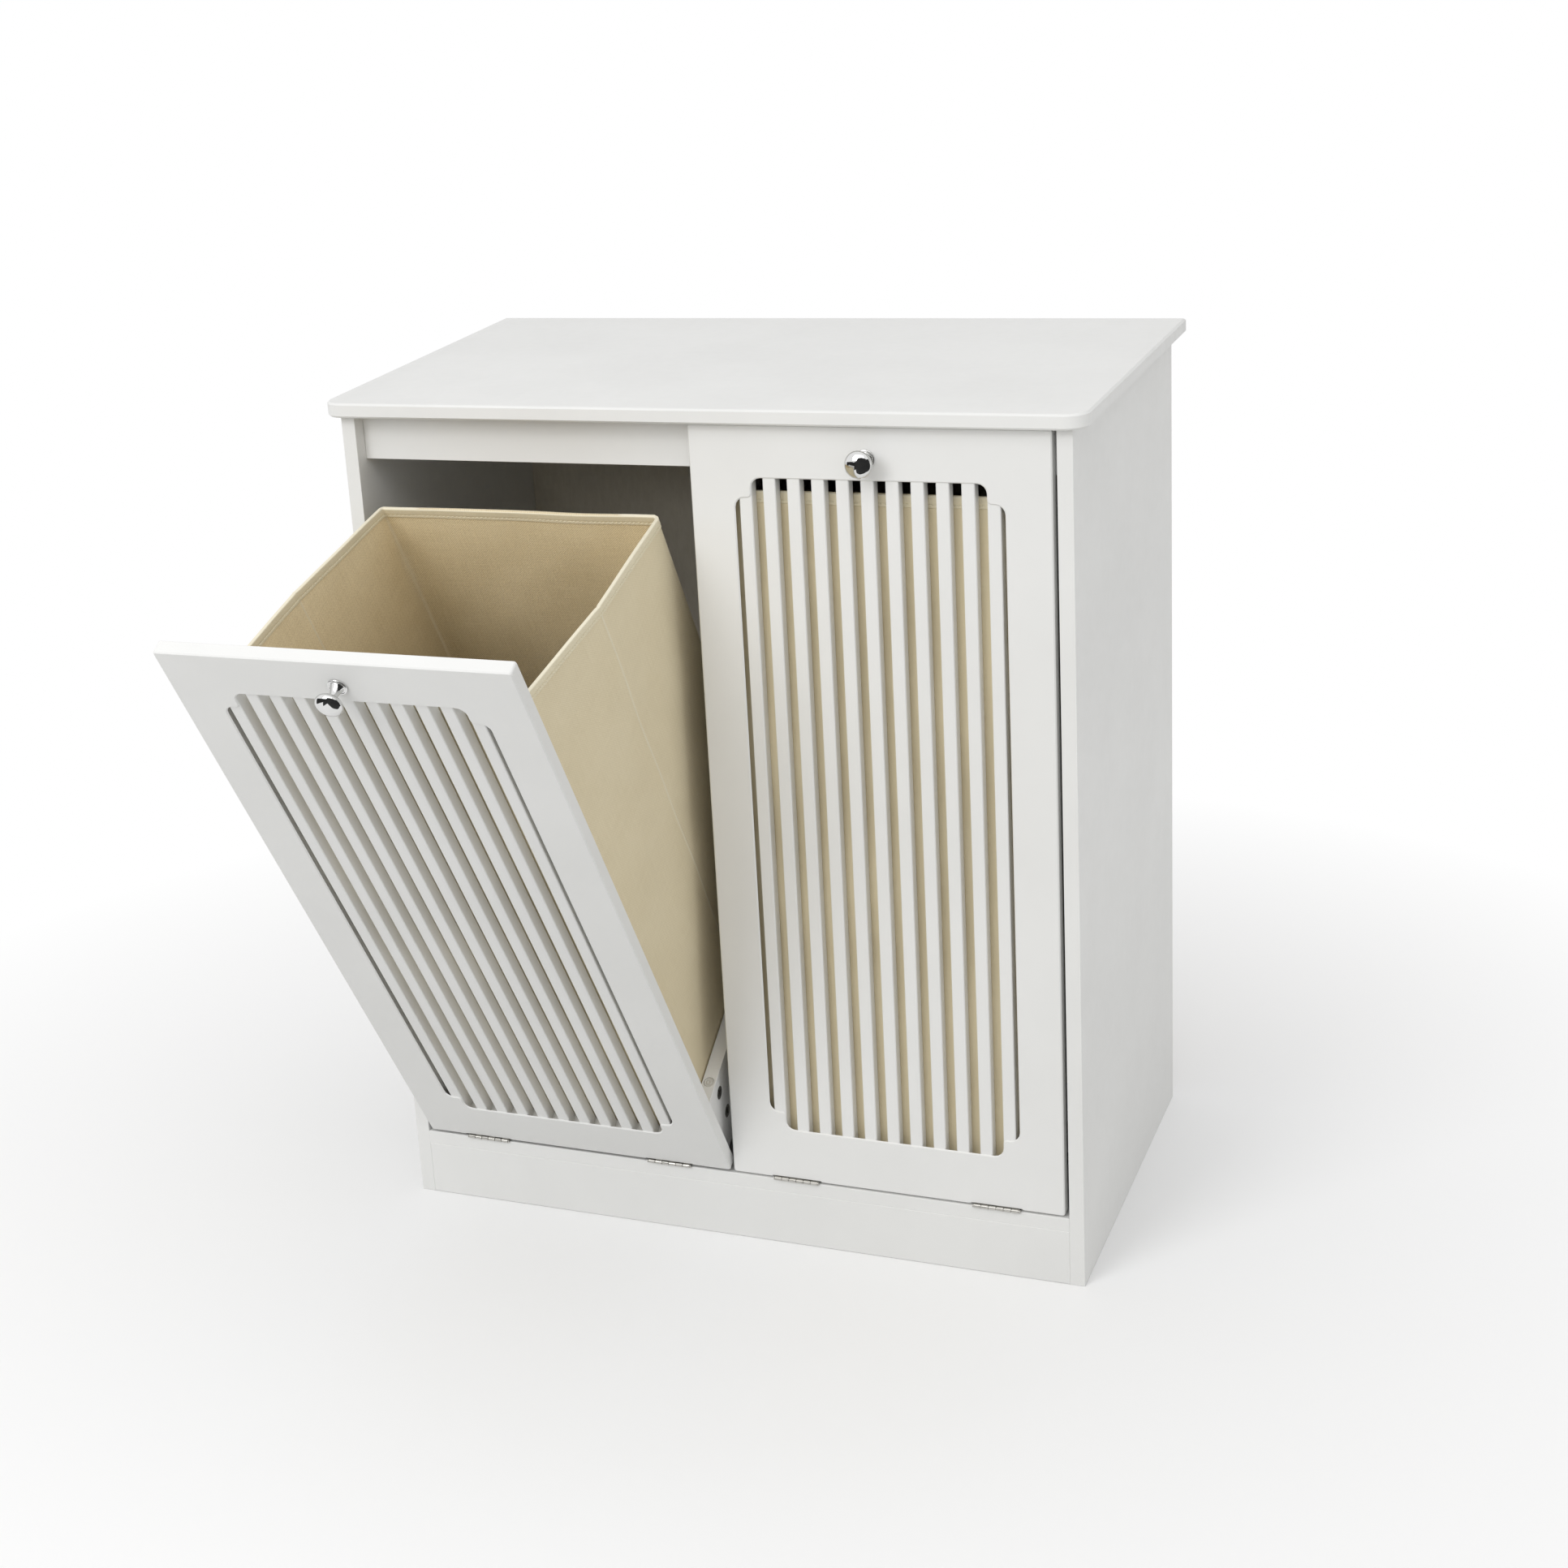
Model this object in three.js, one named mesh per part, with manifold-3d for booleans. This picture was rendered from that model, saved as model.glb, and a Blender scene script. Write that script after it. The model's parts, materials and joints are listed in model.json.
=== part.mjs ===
// Double tilt-out laundry cabinet with slatted doors, in millimetres, +Z up.
// The origin is on the floor, at the middle of the plinth's underside, and the doors face -Y.
// Each door carries a tray and a fabric bag, and tips forward about its bottom hinges.

import * as THREE from "three";
import { mergeVertices } from "three/addons/utils/BufferGeometryUtils.js";
import Module from "manifold-3d";

const wasm = await Module();
wasm.setup();

// Carcass
const BODY_WIDTH = 750;
const BODY_DEPTH = 435;
const SIDE_HEIGHT = 885;
const CARCASS_BOARD = 15;
const PLINTH_HEIGHT = 60;
const RAIL_HEIGHT = 49;
const BOARD_EASE = 0.5;
const TOP_THICKNESS = 15;
const TOP_SIDE_OVERHANG = 15;
const TOP_FRONT_OVERHANG = 14;
const TOP_CORNER_RADIUS = 22;
const TOP_EASE = 2;
const BACK_THICKNESS = 5;
const BACK_INSET = 20;
const BACK_GROOVE_DEPTH = 6;

// Clearances
const SEAT_GAP = 0.3;
const DOOR_SIDE_GAP = 4.5;
const DOOR_CENTRE_GAP = 3.4;
const DOOR_TOP_GAP = 2.5;
const CUT_OVERRUN = 5;
const CUT_BITE = 0.3;
const WELD_TOLERANCE = 0.0005;

// Doors
const OPEN_ANGLE = THREE.MathUtils.degToRad(31.3);
const DOOR_THICKNESS = 15;
const DOOR_EASE = 1.2;
const DOOR_CORNER_RADIUS = 3;
const WINDOW_SIDE_MARGIN = 44.5;
const WINDOW_TOP_MARGIN = 52;
const WINDOW_BOTTOM_MARGIN = 58;
const NOTCH_HEIGHT = 19.5;
const NOTCH_OUTER_RADIUS = 9.5;
const NOTCH_INNER_RADIUS = 4.5;
const SLAT_COUNT = 11;
const SLAT_WIDTH = 12.75;
const SLAT_RECESS = 1.5;
const SLAT_EASE = 0.8;
const SIDE_SLOT = 4.25;
const LIP_WIDTH = 10;

// Knobs
const KNOB_DROP = 31;
const KNOB_LENGTH = 28.5;
const KNOB_FLANGE_RADIUS = 9.7;
const KNOB_FLANGE_THICKNESS = 2;
const KNOB_SHOULDER_RADIUS = 7.4;
const KNOB_NECK_RADIUS = 3.7;
const KNOB_HEAD_RADIUS = 13.5;
const KNOB_HEAD_LENGTH = 14.5;
const KNOB_BORE_DEPTH = 10;
const KNOB_SCREW_RADIUS = 2;
const KNOB_SCREW_HEAD_RADIUS = 4.2;
const KNOB_SCREW_HEAD_HEIGHT = 2;
const KNOB_SCREW_REACH = 8;

// Hinges
const HINGE_LENGTH = 47.5;
const HINGE_INSET = 46.25;
const HINGE_KNUCKLES = 6;
const HINGE_KNUCKLE_GAP = 0.8;
const HINGE_BARREL_RADIUS = 2;
const HINGE_BARREL_REACH = 1.5;
const HINGE_LEAF_THICKNESS = 1.2;
const HINGE_LEAF_DEPTH = 13.2;
const HINGE_PIN_RADIUS = 1.1;
const HINGE_PIN_HEAD_RADIUS = 1.8;
const HINGE_PIN_HEAD_LENGTH = 0.8;
const MORTISE_DEPTH = 1;
const MORTISE_MARGIN = 2.4;

// Trays behind the doors
const TRAY_BOARD = 15;
const TRAY_INSET = 8.3;
const TRAY_RISE = 3;
const TRAY_HEIGHT = 90;
const TRAY_REAR_GAP = 39.7;
const TRAY_FLOOR_THICKNESS = 5;
const TRAY_FLOOR_RISE = 8;
const TRAY_GROOVE_DEPTH = 5;
const CAM_RADIUS = 7.2;
const CAM_DEPTH = 11;
const CAM_SETBACK = 34;
const CAM_SPACING = 35.5;
const CAM_TOP_MARGIN = 19;
const CAM_SLOT_WIDTH = 2;
const CAM_SLOT_DEPTH = 1.6;
const PLUG_RADIUS = 5.6;
const PLUG_DEPTH = 6;
const PLUG_DISH_RADIUS = 3.2;
const PLUG_DISH_DEPTH = 1;

// Blocks that the trays meet when a door is fully open
const STOP_LENGTH = 40;
const STOP_HEIGHT = 15;
const STOP_OVERLAP = 7.5;
const STOP_REAR_MARGIN = 92.7;

// Bags
const BAG_SIDE_CLEARANCE = 1.6;
const BAG_FRONT_CLEARANCE = 1.2;
const BAG_REAR_CLEARANCE = 2;
const BAG_WALL = 2.4;
const BAG_DROP_FRONT = 68;
const BAG_RIM_FALL = 116.5;
const BAG_FLARE = 7;
const BAG_HEM_HEIGHT = 12;
const BAG_HEM_STEP = 0.7;

// Facets of the round pieces
const KNOB_SIDES = 32;
const KNOB_ARC_STEPS = 7;
const KNOB_NECK_STEPS = 4;
const KNOB_NECK_CURVE = 1.6;
const SMALL_SIDES = 16;
const CORNER_STEPS = 4;
const TOP_CORNER_STEPS = 12;
const ARC_HANDLE_SHARE = 0.5523;

// Heights, worked out from the floor up
const BOTTOM_TOP = PLINTH_HEIGHT + CARCASS_BOARD;
const TOP_SURFACE = SIDE_HEIGHT + TOP_THICKNESS;
const RAIL_BOTTOM = SIDE_HEIGHT - RAIL_HEIGHT;
const MORTISE_TOP = BOTTOM_TOP + 2 * HINGE_LEAF_THICKNESS + 2 * SEAT_GAP;
const DOOR_BOTTOM = MORTISE_TOP - MORTISE_DEPTH;
const DOOR_TOP = SIDE_HEIGHT - DOOR_TOP_GAP;
const PIVOT_Z = BOTTOM_TOP + HINGE_LEAF_THICKNESS + SEAT_GAP / 2;

// Depths, from the front edges of the side panels backwards
const FRONT_Y = -CARCASS_BOARD / 2;
const BACK_Y = FRONT_Y + BODY_DEPTH;
const PIVOT_Y = FRONT_Y - HINGE_BARREL_REACH;
const RAIL_FRONT = FRONT_Y + DOOR_THICKNESS + KNOB_SCREW_HEAD_HEIGHT + 2 * SEAT_GAP;
const RAIL_BACK = RAIL_FRONT + CARCASS_BOARD;
const BACK_PANEL_FRONT = BACK_Y - BACK_INSET - BACK_THICKNESS;

// Widths, with the partition at x = 0
const OUTER_X = BODY_WIDTH / 2;
const INNER_X = OUTER_X - CARCASS_BOARD;
const PARTITION_X = CARCASS_BOARD / 2;
const DOOR_WIDTH = INNER_X - DOOR_SIDE_GAP - DOOR_CENTRE_GAP / 2;
const DOOR_CENTRE_X = DOOR_CENTRE_GAP / 2 + DOOR_WIDTH / 2;

// Places on a door, measured from its hinge axis with the door closed
const DOOR_FRONT = FRONT_Y - PIVOT_Y;
const DOOR_BACK = DOOR_FRONT + DOOR_THICKNESS;
const DOOR_LOW = DOOR_BOTTOM - PIVOT_Z;
const DOOR_HIGH = DOOR_TOP - PIVOT_Z;
const KNOB_Z = DOOR_HIGH - KNOB_DROP;
const TRAY_FRONT = DOOR_BACK + SEAT_GAP;
const TRAY_BACK = BACK_PANEL_FRONT - TRAY_REAR_GAP - PIVOT_Y;
const TRAY_LOW = DOOR_LOW + TRAY_RISE;
const TRAY_HIGH = TRAY_LOW + TRAY_HEIGHT;
const TRAY_OUTER = DOOR_WIDTH / 2 - TRAY_INSET;
const TRAY_INNER = TRAY_OUTER - TRAY_BOARD;
const TRAY_FLOOR_LOW = TRAY_LOW + TRAY_FLOOR_RISE;
const TRAY_FLOOR_HIGH = TRAY_FLOOR_LOW + TRAY_FLOOR_THICKNESS;

const FINISHES = {
  white: { color: 0xe9e9e6, roughness: 0.45, metalness: 0 },
  fibreboard: { color: 0xdcdcd6, roughness: 0.6, metalness: 0 },
  fabric: { color: 0xcdb98c, roughness: 0.95, metalness: 0 },
  chrome: { color: 0xd9dadb, roughness: 0.08, metalness: 1 },
  steel: { color: 0xb9b6ae, roughness: 0.32, metalness: 1 },
  zinc: { color: 0x6f6c64, roughness: 0.5, metalness: 1 },
  plastic: { color: 0xd6d4cd, roughness: 0.5, metalness: 0 },
};

const X = new THREE.Vector3(1, 0, 0);
const Y = new THREE.Vector3(0, 1, 0);
const Z = new THREE.Vector3(0, 0, 1);
const ALONG = {
  x: new THREE.Matrix4().makeBasis(Y, Z, X),
  y: new THREE.Matrix4().makeBasis(X, Z, Y.clone().negate()),
  z: new THREE.Matrix4(),
};

function addPiece(group, name, finish, geometry) {
  const material = new THREE.MeshStandardMaterial(FINISHES[finish]);
  const mesh = new THREE.Mesh(geometry, material);
  mesh.name = name;
  group.add(mesh);
  return mesh;
}

function solidOf(geometry) {
  const bare = geometry.clone();
  bare.deleteAttribute("normal");
  bare.deleteAttribute("uv");
  const merged = mergeVertices(bare, WELD_TOLERANCE);
  const vertProperties = merged.attributes.position.array;
  const triVerts = new Uint32Array(merged.index.array);
  return new wasm.Manifold(new wasm.Mesh({ numProp: 3, vertProperties, triVerts }));
}

function geometryOf(solid) {
  const mesh = solid.getMesh();
  const geometry = new THREE.BufferGeometry();
  geometry.setAttribute("position", new THREE.Float32BufferAttribute(mesh.vertProperties, 3));
  geometry.setIndex(new THREE.Uint32BufferAttribute(mesh.triVerts, 1));
  const faceted = geometry.toNonIndexed();
  faceted.computeVertexNormals();
  return faceted;
}

// A closed outline through corners [x, y, radius], each corner rounded by its own radius.
function outline(corners, shape = new THREE.Shape()) {
  const points = corners.map(([x, y]) => new THREE.Vector2(x, y));
  corners.forEach(([, , radius = 0], i) => {
    const corner = points[i];
    const before = points[(i + corners.length - 1) % corners.length];
    const after = points[(i + 1) % corners.length];
    const towardsBefore = before.clone().sub(corner).normalize();
    const towardsAfter = after.clone().sub(corner).normalize();
    const start = corner.clone().addScaledVector(towardsBefore, radius);
    const end = corner.clone().addScaledVector(towardsAfter, radius);
    if (i === 0) shape.moveTo(start.x, start.y);
    else shape.lineTo(start.x, start.y);
    if (radius > 0) {
      const first = start.clone().lerp(corner, ARC_HANDLE_SHARE);
      const second = end.clone().lerp(corner, ARC_HANDLE_SHARE);
      shape.bezierCurveTo(first.x, first.y, second.x, second.y, end.x, end.y);
    }
  });
  shape.closePath();
  return shape;
}

function rectangle([x0, x1], [y0, y1], radius = 0) {
  return [[x0, y0, radius], [x1, y0, radius], [x1, y1, radius], [x0, y1, radius]];
}

// A shape carried along one axis between two places, with its end arrises eased. Where the ease
// is below zero, the ends spread instead, as on a cutter that eases the arrises of its cut.
function prism(shape, axis, [from, to], ease = 0, steps = CORNER_STEPS) {
  const slope = Math.abs(ease);
  const geometry = new THREE.ExtrudeGeometry(shape, {
    depth: to - from - 2 * slope,
    bevelEnabled: slope > 0,
    bevelThickness: slope,
    bevelSize: ease,
    bevelOffset: -ease,
    bevelSegments: 1,
    curveSegments: steps,
  });
  geometry.translate(0, 0, slope);
  geometry.applyMatrix4(ALONG[axis]);
  if (axis === "x") geometry.translate(from, 0, 0);
  if (axis === "y") geometry.translate(0, to, 0);
  if (axis === "z") geometry.translate(0, 0, from);
  return geometry;
}

// A board between two places on each axis. Its arrises are eased round its broad faces.
function board(x, y, z, broad, ease = BOARD_EASE) {
  const spans = { x: [y, z], y: [x, z], z: [x, y] };
  const along = { x, y, z };
  return prism(outline(rectangle(...spans[broad])), broad, along[broad], ease);
}

// A round rod or disc along one axis, centred at two coordinates of the other axes.
function rod(axis, [first, second], radius, span, sides = SMALL_SIDES) {
  const circle = [];
  for (let i = 0; i < sides; i += 1) {
    const angle = (2 * Math.PI * (i + 1 / 2)) / sides;
    circle.push(new THREE.Vector2(first + radius * Math.cos(angle), second + radius * Math.sin(angle)));
  }
  return prism(new THREE.Shape(circle), axis, span);
}

// A profile of [radius, height] points turned about an axis that points to -Y.
function turnedForward(profile, sides) {
  const points = profile.map(([radius, height]) => new THREE.Vector2(radius, height));
  const geometry = new THREE.LatheGeometry(points, sides);
  geometry.rotateX(Math.PI);
  return geometry;
}

function mirrored(span, side) {
  return side < 0 ? [-span[1], -span[0]] : span;
}

function topBoard() {
  const x = [-OUTER_X - TOP_SIDE_OVERHANG, OUTER_X + TOP_SIDE_OVERHANG];
  const y = [FRONT_Y - TOP_FRONT_OVERHANG, BACK_Y];
  const plan = rectangle(x, y);
  plan[0][2] = TOP_CORNER_RADIUS;
  plan[1][2] = TOP_CORNER_RADIUS;
  return prism(outline(plan), "z", [SIDE_HEIGHT, TOP_SURFACE], TOP_EASE, TOP_CORNER_STEPS);
}

// A side panel's plan is carried up from the floor, with the back panel's groove in it.
function sidePanel(side) {
  const grooveFront = BACK_PANEL_FRONT - SEAT_GAP;
  const grooveBack = BACK_PANEL_FRONT + BACK_THICKNESS + SEAT_GAP;
  const grooveX = INNER_X + BACK_GROOVE_DEPTH;
  const plan = [
    [INNER_X, FRONT_Y, BOARD_EASE],
    [OUTER_X, FRONT_Y, BOARD_EASE],
    [OUTER_X, BACK_Y, BOARD_EASE],
    [INNER_X, BACK_Y],
    [INNER_X, grooveBack],
    [grooveX, grooveBack],
    [grooveX, grooveFront],
    [INNER_X, grooveFront],
  ];
  const placed = plan.map(([x, y, radius]) => [side * x, y, radius]);
  return prism(outline(placed), "z", [0, SIDE_HEIGHT]);
}

function backPanel() {
  const reach = INNER_X + BACK_GROOVE_DEPTH - SEAT_GAP;
  const y = [BACK_PANEL_FRONT, BACK_PANEL_FRONT + BACK_THICKNESS];
  return board([-reach, reach], y, [PLINTH_HEIGHT, SIDE_HEIGHT], "y", 0);
}

// The outline of a door's window, whose corners are stepped in by one slot and one slat.
function windowCorners(x, z) {
  const notch = SIDE_SLOT + SLAT_WIDTH;
  const corner = (px, pz, sx, sz) => [
    [px, pz - sz * NOTCH_HEIGHT, NOTCH_OUTER_RADIUS],
    [px - sx * notch, pz - sz * NOTCH_HEIGHT, NOTCH_INNER_RADIUS],
    [px - sx * notch, pz, NOTCH_OUTER_RADIUS],
  ];
  return [
    ...corner(x[0], z[0], -1, -1),
    ...corner(x[1], z[0], 1, -1).reverse(),
    ...corner(x[1], z[1], 1, 1),
    ...corner(x[0], z[1], -1, 1).reverse(),
  ];
}

// The door's outer corners, with a shallow step cut in its lower edge above each hinge.
function doorCorners() {
  const half = DOOR_WIDTH / 2;
  const from = half - HINGE_INSET - HINGE_LENGTH - MORTISE_MARGIN;
  const to = half - HINGE_INSET + MORTISE_MARGIN;
  const high = DOOR_LOW + MORTISE_DEPTH;
  const step = (x0, x1, slopeIn, slopeOut) => [
    [x0 - slopeIn, DOOR_LOW],
    [x0, high],
    [x1, high],
    [x1 + slopeOut, DOOR_LOW],
  ];
  return [
    [-half, DOOR_LOW, DOOR_CORNER_RADIUS],
    ...step(-to, -from, MORTISE_DEPTH, MORTISE_DEPTH),
    ...step(from, to, MORTISE_DEPTH, MORTISE_DEPTH),
    [half, DOOR_LOW, DOOR_CORNER_RADIUS],
    [half, DOOR_HIGH, DOOR_CORNER_RADIUS],
    [-half, DOOR_HIGH, DOOR_CORNER_RADIUS],
  ];
}

// The cutter for one gap beside the slats. It spreads at the slats' front and back, which eases
// their arrises, and it runs on behind the window's thin lip.
function gapCutter([x0, x1], z) {
  const spread = SLAT_EASE + CUT_BITE;
  const front = DOOR_FRONT + SLAT_RECESS - CUT_BITE;
  const back = DOOR_BACK + CUT_BITE;
  const section = [
    [x0 - spread, front],
    [x1 + spread, front],
    [x1, front + spread],
    [x1, back - spread],
    [x1 + spread, back],
    [x0 - spread, back],
    [x0, back - spread],
    [x0, front + spread],
  ];
  return solidOf(prism(outline(section), "z", z));
}

// The window's shallow recess in the door's face, down to the fronts of the slats.
function windowCutter(x, z) {
  const spread = DOOR_EASE + CUT_BITE;
  const deep = [DOOR_FRONT - CUT_BITE, DOOR_BACK + CUT_OVERRUN];
  const cutter = solidOf(prism(outline(windowCorners(x, z)), "y", deep, -spread));
  const wide = x.map((place) => 2 * place);
  const tall = [z[0] - CUT_OVERRUN, z[1] + CUT_OVERRUN];
  const shallow = [DOOR_FRONT - CUT_OVERRUN, DOOR_FRONT + SLAT_RECESS];
  return cutter.intersect(solidOf(board(wide, shallow, tall, "y", 0)));
}

// A door is one board. Its window is sunk into the face, the gaps are cut from behind, and the
// slats stay standing between them.
function doorPanel() {
  const half = DOOR_WIDTH / 2 - WINDOW_SIDE_MARGIN;
  const low = DOOR_LOW + WINDOW_BOTTOM_MARGIN;
  const high = DOOR_HIGH - WINDOW_TOP_MARGIN;
  const blank = prism(outline(doorCorners()), "y", [DOOR_FRONT, DOOR_BACK], DOOR_EASE);
  let solid = solidOf(blank).subtract(windowCutter([-half, half], [low, high]));

  const gap = (2 * half - 2 * SIDE_SLOT - SLAT_COUNT * SLAT_WIDTH) / (SLAT_COUNT - 1);
  const behindLip = [low - LIP_WIDTH, high + LIP_WIDTH];
  let from = -half - LIP_WIDTH / 2;
  for (let i = 0; i <= SLAT_COUNT; i += 1) {
    const slatStart = -half + SIDE_SLOT + i * (SLAT_WIDTH + gap);
    const to = i < SLAT_COUNT ? slatStart : half + LIP_WIDTH / 2;
    solid = solid.subtract(gapCutter([from, to], behindLip));
    from = slatStart + SLAT_WIDTH;
  }
  const hole = rod("y", [0, KNOB_Z], KNOB_SCREW_RADIUS + SEAT_GAP, [
    DOOR_FRONT - CUT_OVERRUN,
    DOOR_BACK + CUT_OVERRUN,
  ]);
  return geometryOf(solid.subtract(solidOf(hole)));
}

// A mushroom knob: flange, neck that narrows like a trumpet and a flattened ball, with a blind
// hole for its screw.
function knob() {
  const boreRadius = KNOB_SCREW_RADIUS + SEAT_GAP;
  const headMiddle = KNOB_LENGTH - KNOB_HEAD_LENGTH / 2;
  const flangeRise = KNOB_FLANGE_THICKNESS / 2;
  const profile = [
    [0, KNOB_BORE_DEPTH],
    [boreRadius, KNOB_BORE_DEPTH],
    [boreRadius, 0],
    [KNOB_FLANGE_RADIUS, 0],
    [KNOB_FLANGE_RADIUS, flangeRise],
    [KNOB_FLANGE_RADIUS - flangeRise, KNOB_FLANGE_THICKNESS],
  ];
  const neckAngle = Math.asin(KNOB_NECK_RADIUS / KNOB_HEAD_RADIUS);
  const neckTop = headMiddle - (KNOB_HEAD_LENGTH / 2) * Math.cos(neckAngle);
  for (let i = 0; i < KNOB_NECK_STEPS; i += 1) {
    const share = i / KNOB_NECK_STEPS;
    const flare = (1 - share) ** KNOB_NECK_CURVE;
    profile.push([
      KNOB_NECK_RADIUS + (KNOB_SHOULDER_RADIUS - KNOB_NECK_RADIUS) * flare,
      KNOB_FLANGE_THICKNESS + (neckTop - KNOB_FLANGE_THICKNESS) * share,
    ]);
  }
  for (let i = 0; i <= 2 * KNOB_ARC_STEPS; i += 1) {
    const angle = neckAngle + ((Math.PI - neckAngle) * i) / (2 * KNOB_ARC_STEPS);
    const radius = i === 2 * KNOB_ARC_STEPS ? 0 : KNOB_HEAD_RADIUS * Math.sin(angle);
    profile.push([radius, headMiddle - (KNOB_HEAD_LENGTH / 2) * Math.cos(angle)]);
  }
  const geometry = turnedForward(profile, KNOB_SIDES);
  geometry.translate(0, DOOR_FRONT - SEAT_GAP, KNOB_Z);
  return geometry;
}

function knobScrew() {
  const seat = DOOR_BACK + SEAT_GAP;
  const tip = DOOR_THICKNESS + 2 * SEAT_GAP + KNOB_SCREW_REACH;
  const profile = [
    [0, -KNOB_SCREW_HEAD_HEIGHT],
    [KNOB_SCREW_HEAD_RADIUS - KNOB_SCREW_HEAD_HEIGHT / 2, -KNOB_SCREW_HEAD_HEIGHT],
    [KNOB_SCREW_HEAD_RADIUS, -KNOB_SCREW_HEAD_HEIGHT / 2],
    [KNOB_SCREW_HEAD_RADIUS, 0],
    [KNOB_SCREW_RADIUS, 0],
    [KNOB_SCREW_RADIUS, tip],
    [0, tip],
  ];
  const geometry = turnedForward(profile, SMALL_SIDES);
  geometry.translate(0, seat, KNOB_Z);
  return geometry;
}

// A hinge leaf: a flat plate with every other knuckle, round an axis along X at y = z = 0.
// Its length starts at x. The fixed leaf lies under the axis, and the moving one over it.
function hingeLeaf(x, moving) {
  const pitch = HINGE_LENGTH / HINGE_KNUCKLES;
  const side = moving ? 1 : -1;
  const near = side * (SEAT_GAP / 2);
  const far = side * (SEAT_GAP / 2 + HINGE_LEAF_THICKNESS);
  const z = near < far ? [near, far] : [far, near];
  const boreRadius = HINGE_PIN_RADIUS + SEAT_GAP;
  const wall = (HINGE_BARREL_RADIUS + boreRadius) / 2;
  const clear = HINGE_BARREL_RADIUS + SEAT_GAP;
  let solid = solidOf(board([x, x + HINGE_LENGTH], [-wall / 2, HINGE_LEAF_DEPTH], z, "z", 0));
  for (let i = 0; i < HINGE_KNUCKLES; i += 1) {
    const start = x + i * pitch;
    const span = [start + HINGE_KNUCKLE_GAP / 2, start + pitch - HINGE_KNUCKLE_GAP / 2];
    const own = i % 2 === (moving ? 1 : 0);
    const cut = [start - HINGE_KNUCKLE_GAP / 2, start + pitch + HINGE_KNUCKLE_GAP / 2];
    solid = own
      ? solid.add(solidOf(rod("x", [0, 0], HINGE_BARREL_RADIUS, span)))
      : solid.subtract(solidOf(board(cut, [-clear, clear], [-clear, clear], "x", 0)));
  }
  const bore = [x - CUT_OVERRUN, x + HINGE_LENGTH + CUT_OVERRUN];
  return geometryOf(solid.subtract(solidOf(rod("x", [0, 0], boreRadius, bore))));
}

function hingePin(x) {
  const from = x - SEAT_GAP - HINGE_PIN_HEAD_LENGTH;
  const to = x + HINGE_LENGTH + SEAT_GAP + HINGE_PIN_HEAD_LENGTH;
  const half = HINGE_PIN_HEAD_LENGTH / 2;
  const profile = [
    [0, from],
    [HINGE_PIN_HEAD_RADIUS - half, from],
    [HINGE_PIN_HEAD_RADIUS, from + half],
    [HINGE_PIN_HEAD_RADIUS, from + HINGE_PIN_HEAD_LENGTH],
    [HINGE_PIN_RADIUS, from + HINGE_PIN_HEAD_LENGTH],
    [HINGE_PIN_RADIUS, to - HINGE_PIN_HEAD_LENGTH],
    [HINGE_PIN_HEAD_RADIUS, to - HINGE_PIN_HEAD_LENGTH],
    [HINGE_PIN_HEAD_RADIUS, to - half],
    [HINGE_PIN_HEAD_RADIUS - half, to],
    [0, to],
  ];
  const geometry = new THREE.LatheGeometry(
    profile.map(([radius, height]) => new THREE.Vector2(radius, height)),
    SMALL_SIDES,
  );
  geometry.rotateZ(-Math.PI / 2);
  return geometry;
}

// The heights of a tray board's two cam fasteners.
function camHeights() {
  return [TRAY_HIGH - CAM_TOP_MARGIN, TRAY_HIGH - CAM_TOP_MARGIN - CAM_SPACING];
}

// A tray's side board has a groove for the floor, two cam holes and a plug hole in its top edge.
function traySide(side) {
  const grooveLow = TRAY_FLOOR_LOW - SEAT_GAP;
  const grooveHigh = TRAY_FLOOR_HIGH + SEAT_GAP;
  const grooveX = TRAY_INNER + TRAY_GROOVE_DEPTH;
  const section = [
    [TRAY_INNER, TRAY_LOW],
    [TRAY_OUTER, TRAY_LOW, BOARD_EASE],
    [TRAY_OUTER, TRAY_HIGH, BOARD_EASE],
    [TRAY_INNER, TRAY_HIGH, BOARD_EASE],
    [TRAY_INNER, grooveHigh],
    [grooveX, grooveHigh],
    [grooveX, grooveLow],
    [TRAY_INNER, grooveLow],
  ];
  const placed = section.map(([x, z, radius]) => [side * x, z, radius]);
  let solid = solidOf(prism(outline(placed), "y", [TRAY_FRONT, TRAY_BACK]));
  const camSpan = mirrored([TRAY_OUTER - CAM_DEPTH - SEAT_GAP, TRAY_OUTER + CUT_OVERRUN], side);
  for (const z of camHeights()) {
    const centre = [DOOR_BACK + CAM_SETBACK, z];
    solid = solid.subtract(solidOf(rod("x", centre, CAM_RADIUS + SEAT_GAP, camSpan)));
  }
  const plugCentre = [side * (TRAY_INNER + TRAY_BOARD / 2), DOOR_BACK + CAM_SETBACK];
  const plugSpan = [TRAY_HIGH - PLUG_DEPTH - SEAT_GAP, TRAY_HIGH + CUT_OVERRUN];
  solid = solid.subtract(solidOf(rod("z", plugCentre, PLUG_RADIUS + SEAT_GAP, plugSpan)));
  return geometryOf(solid);
}

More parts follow.
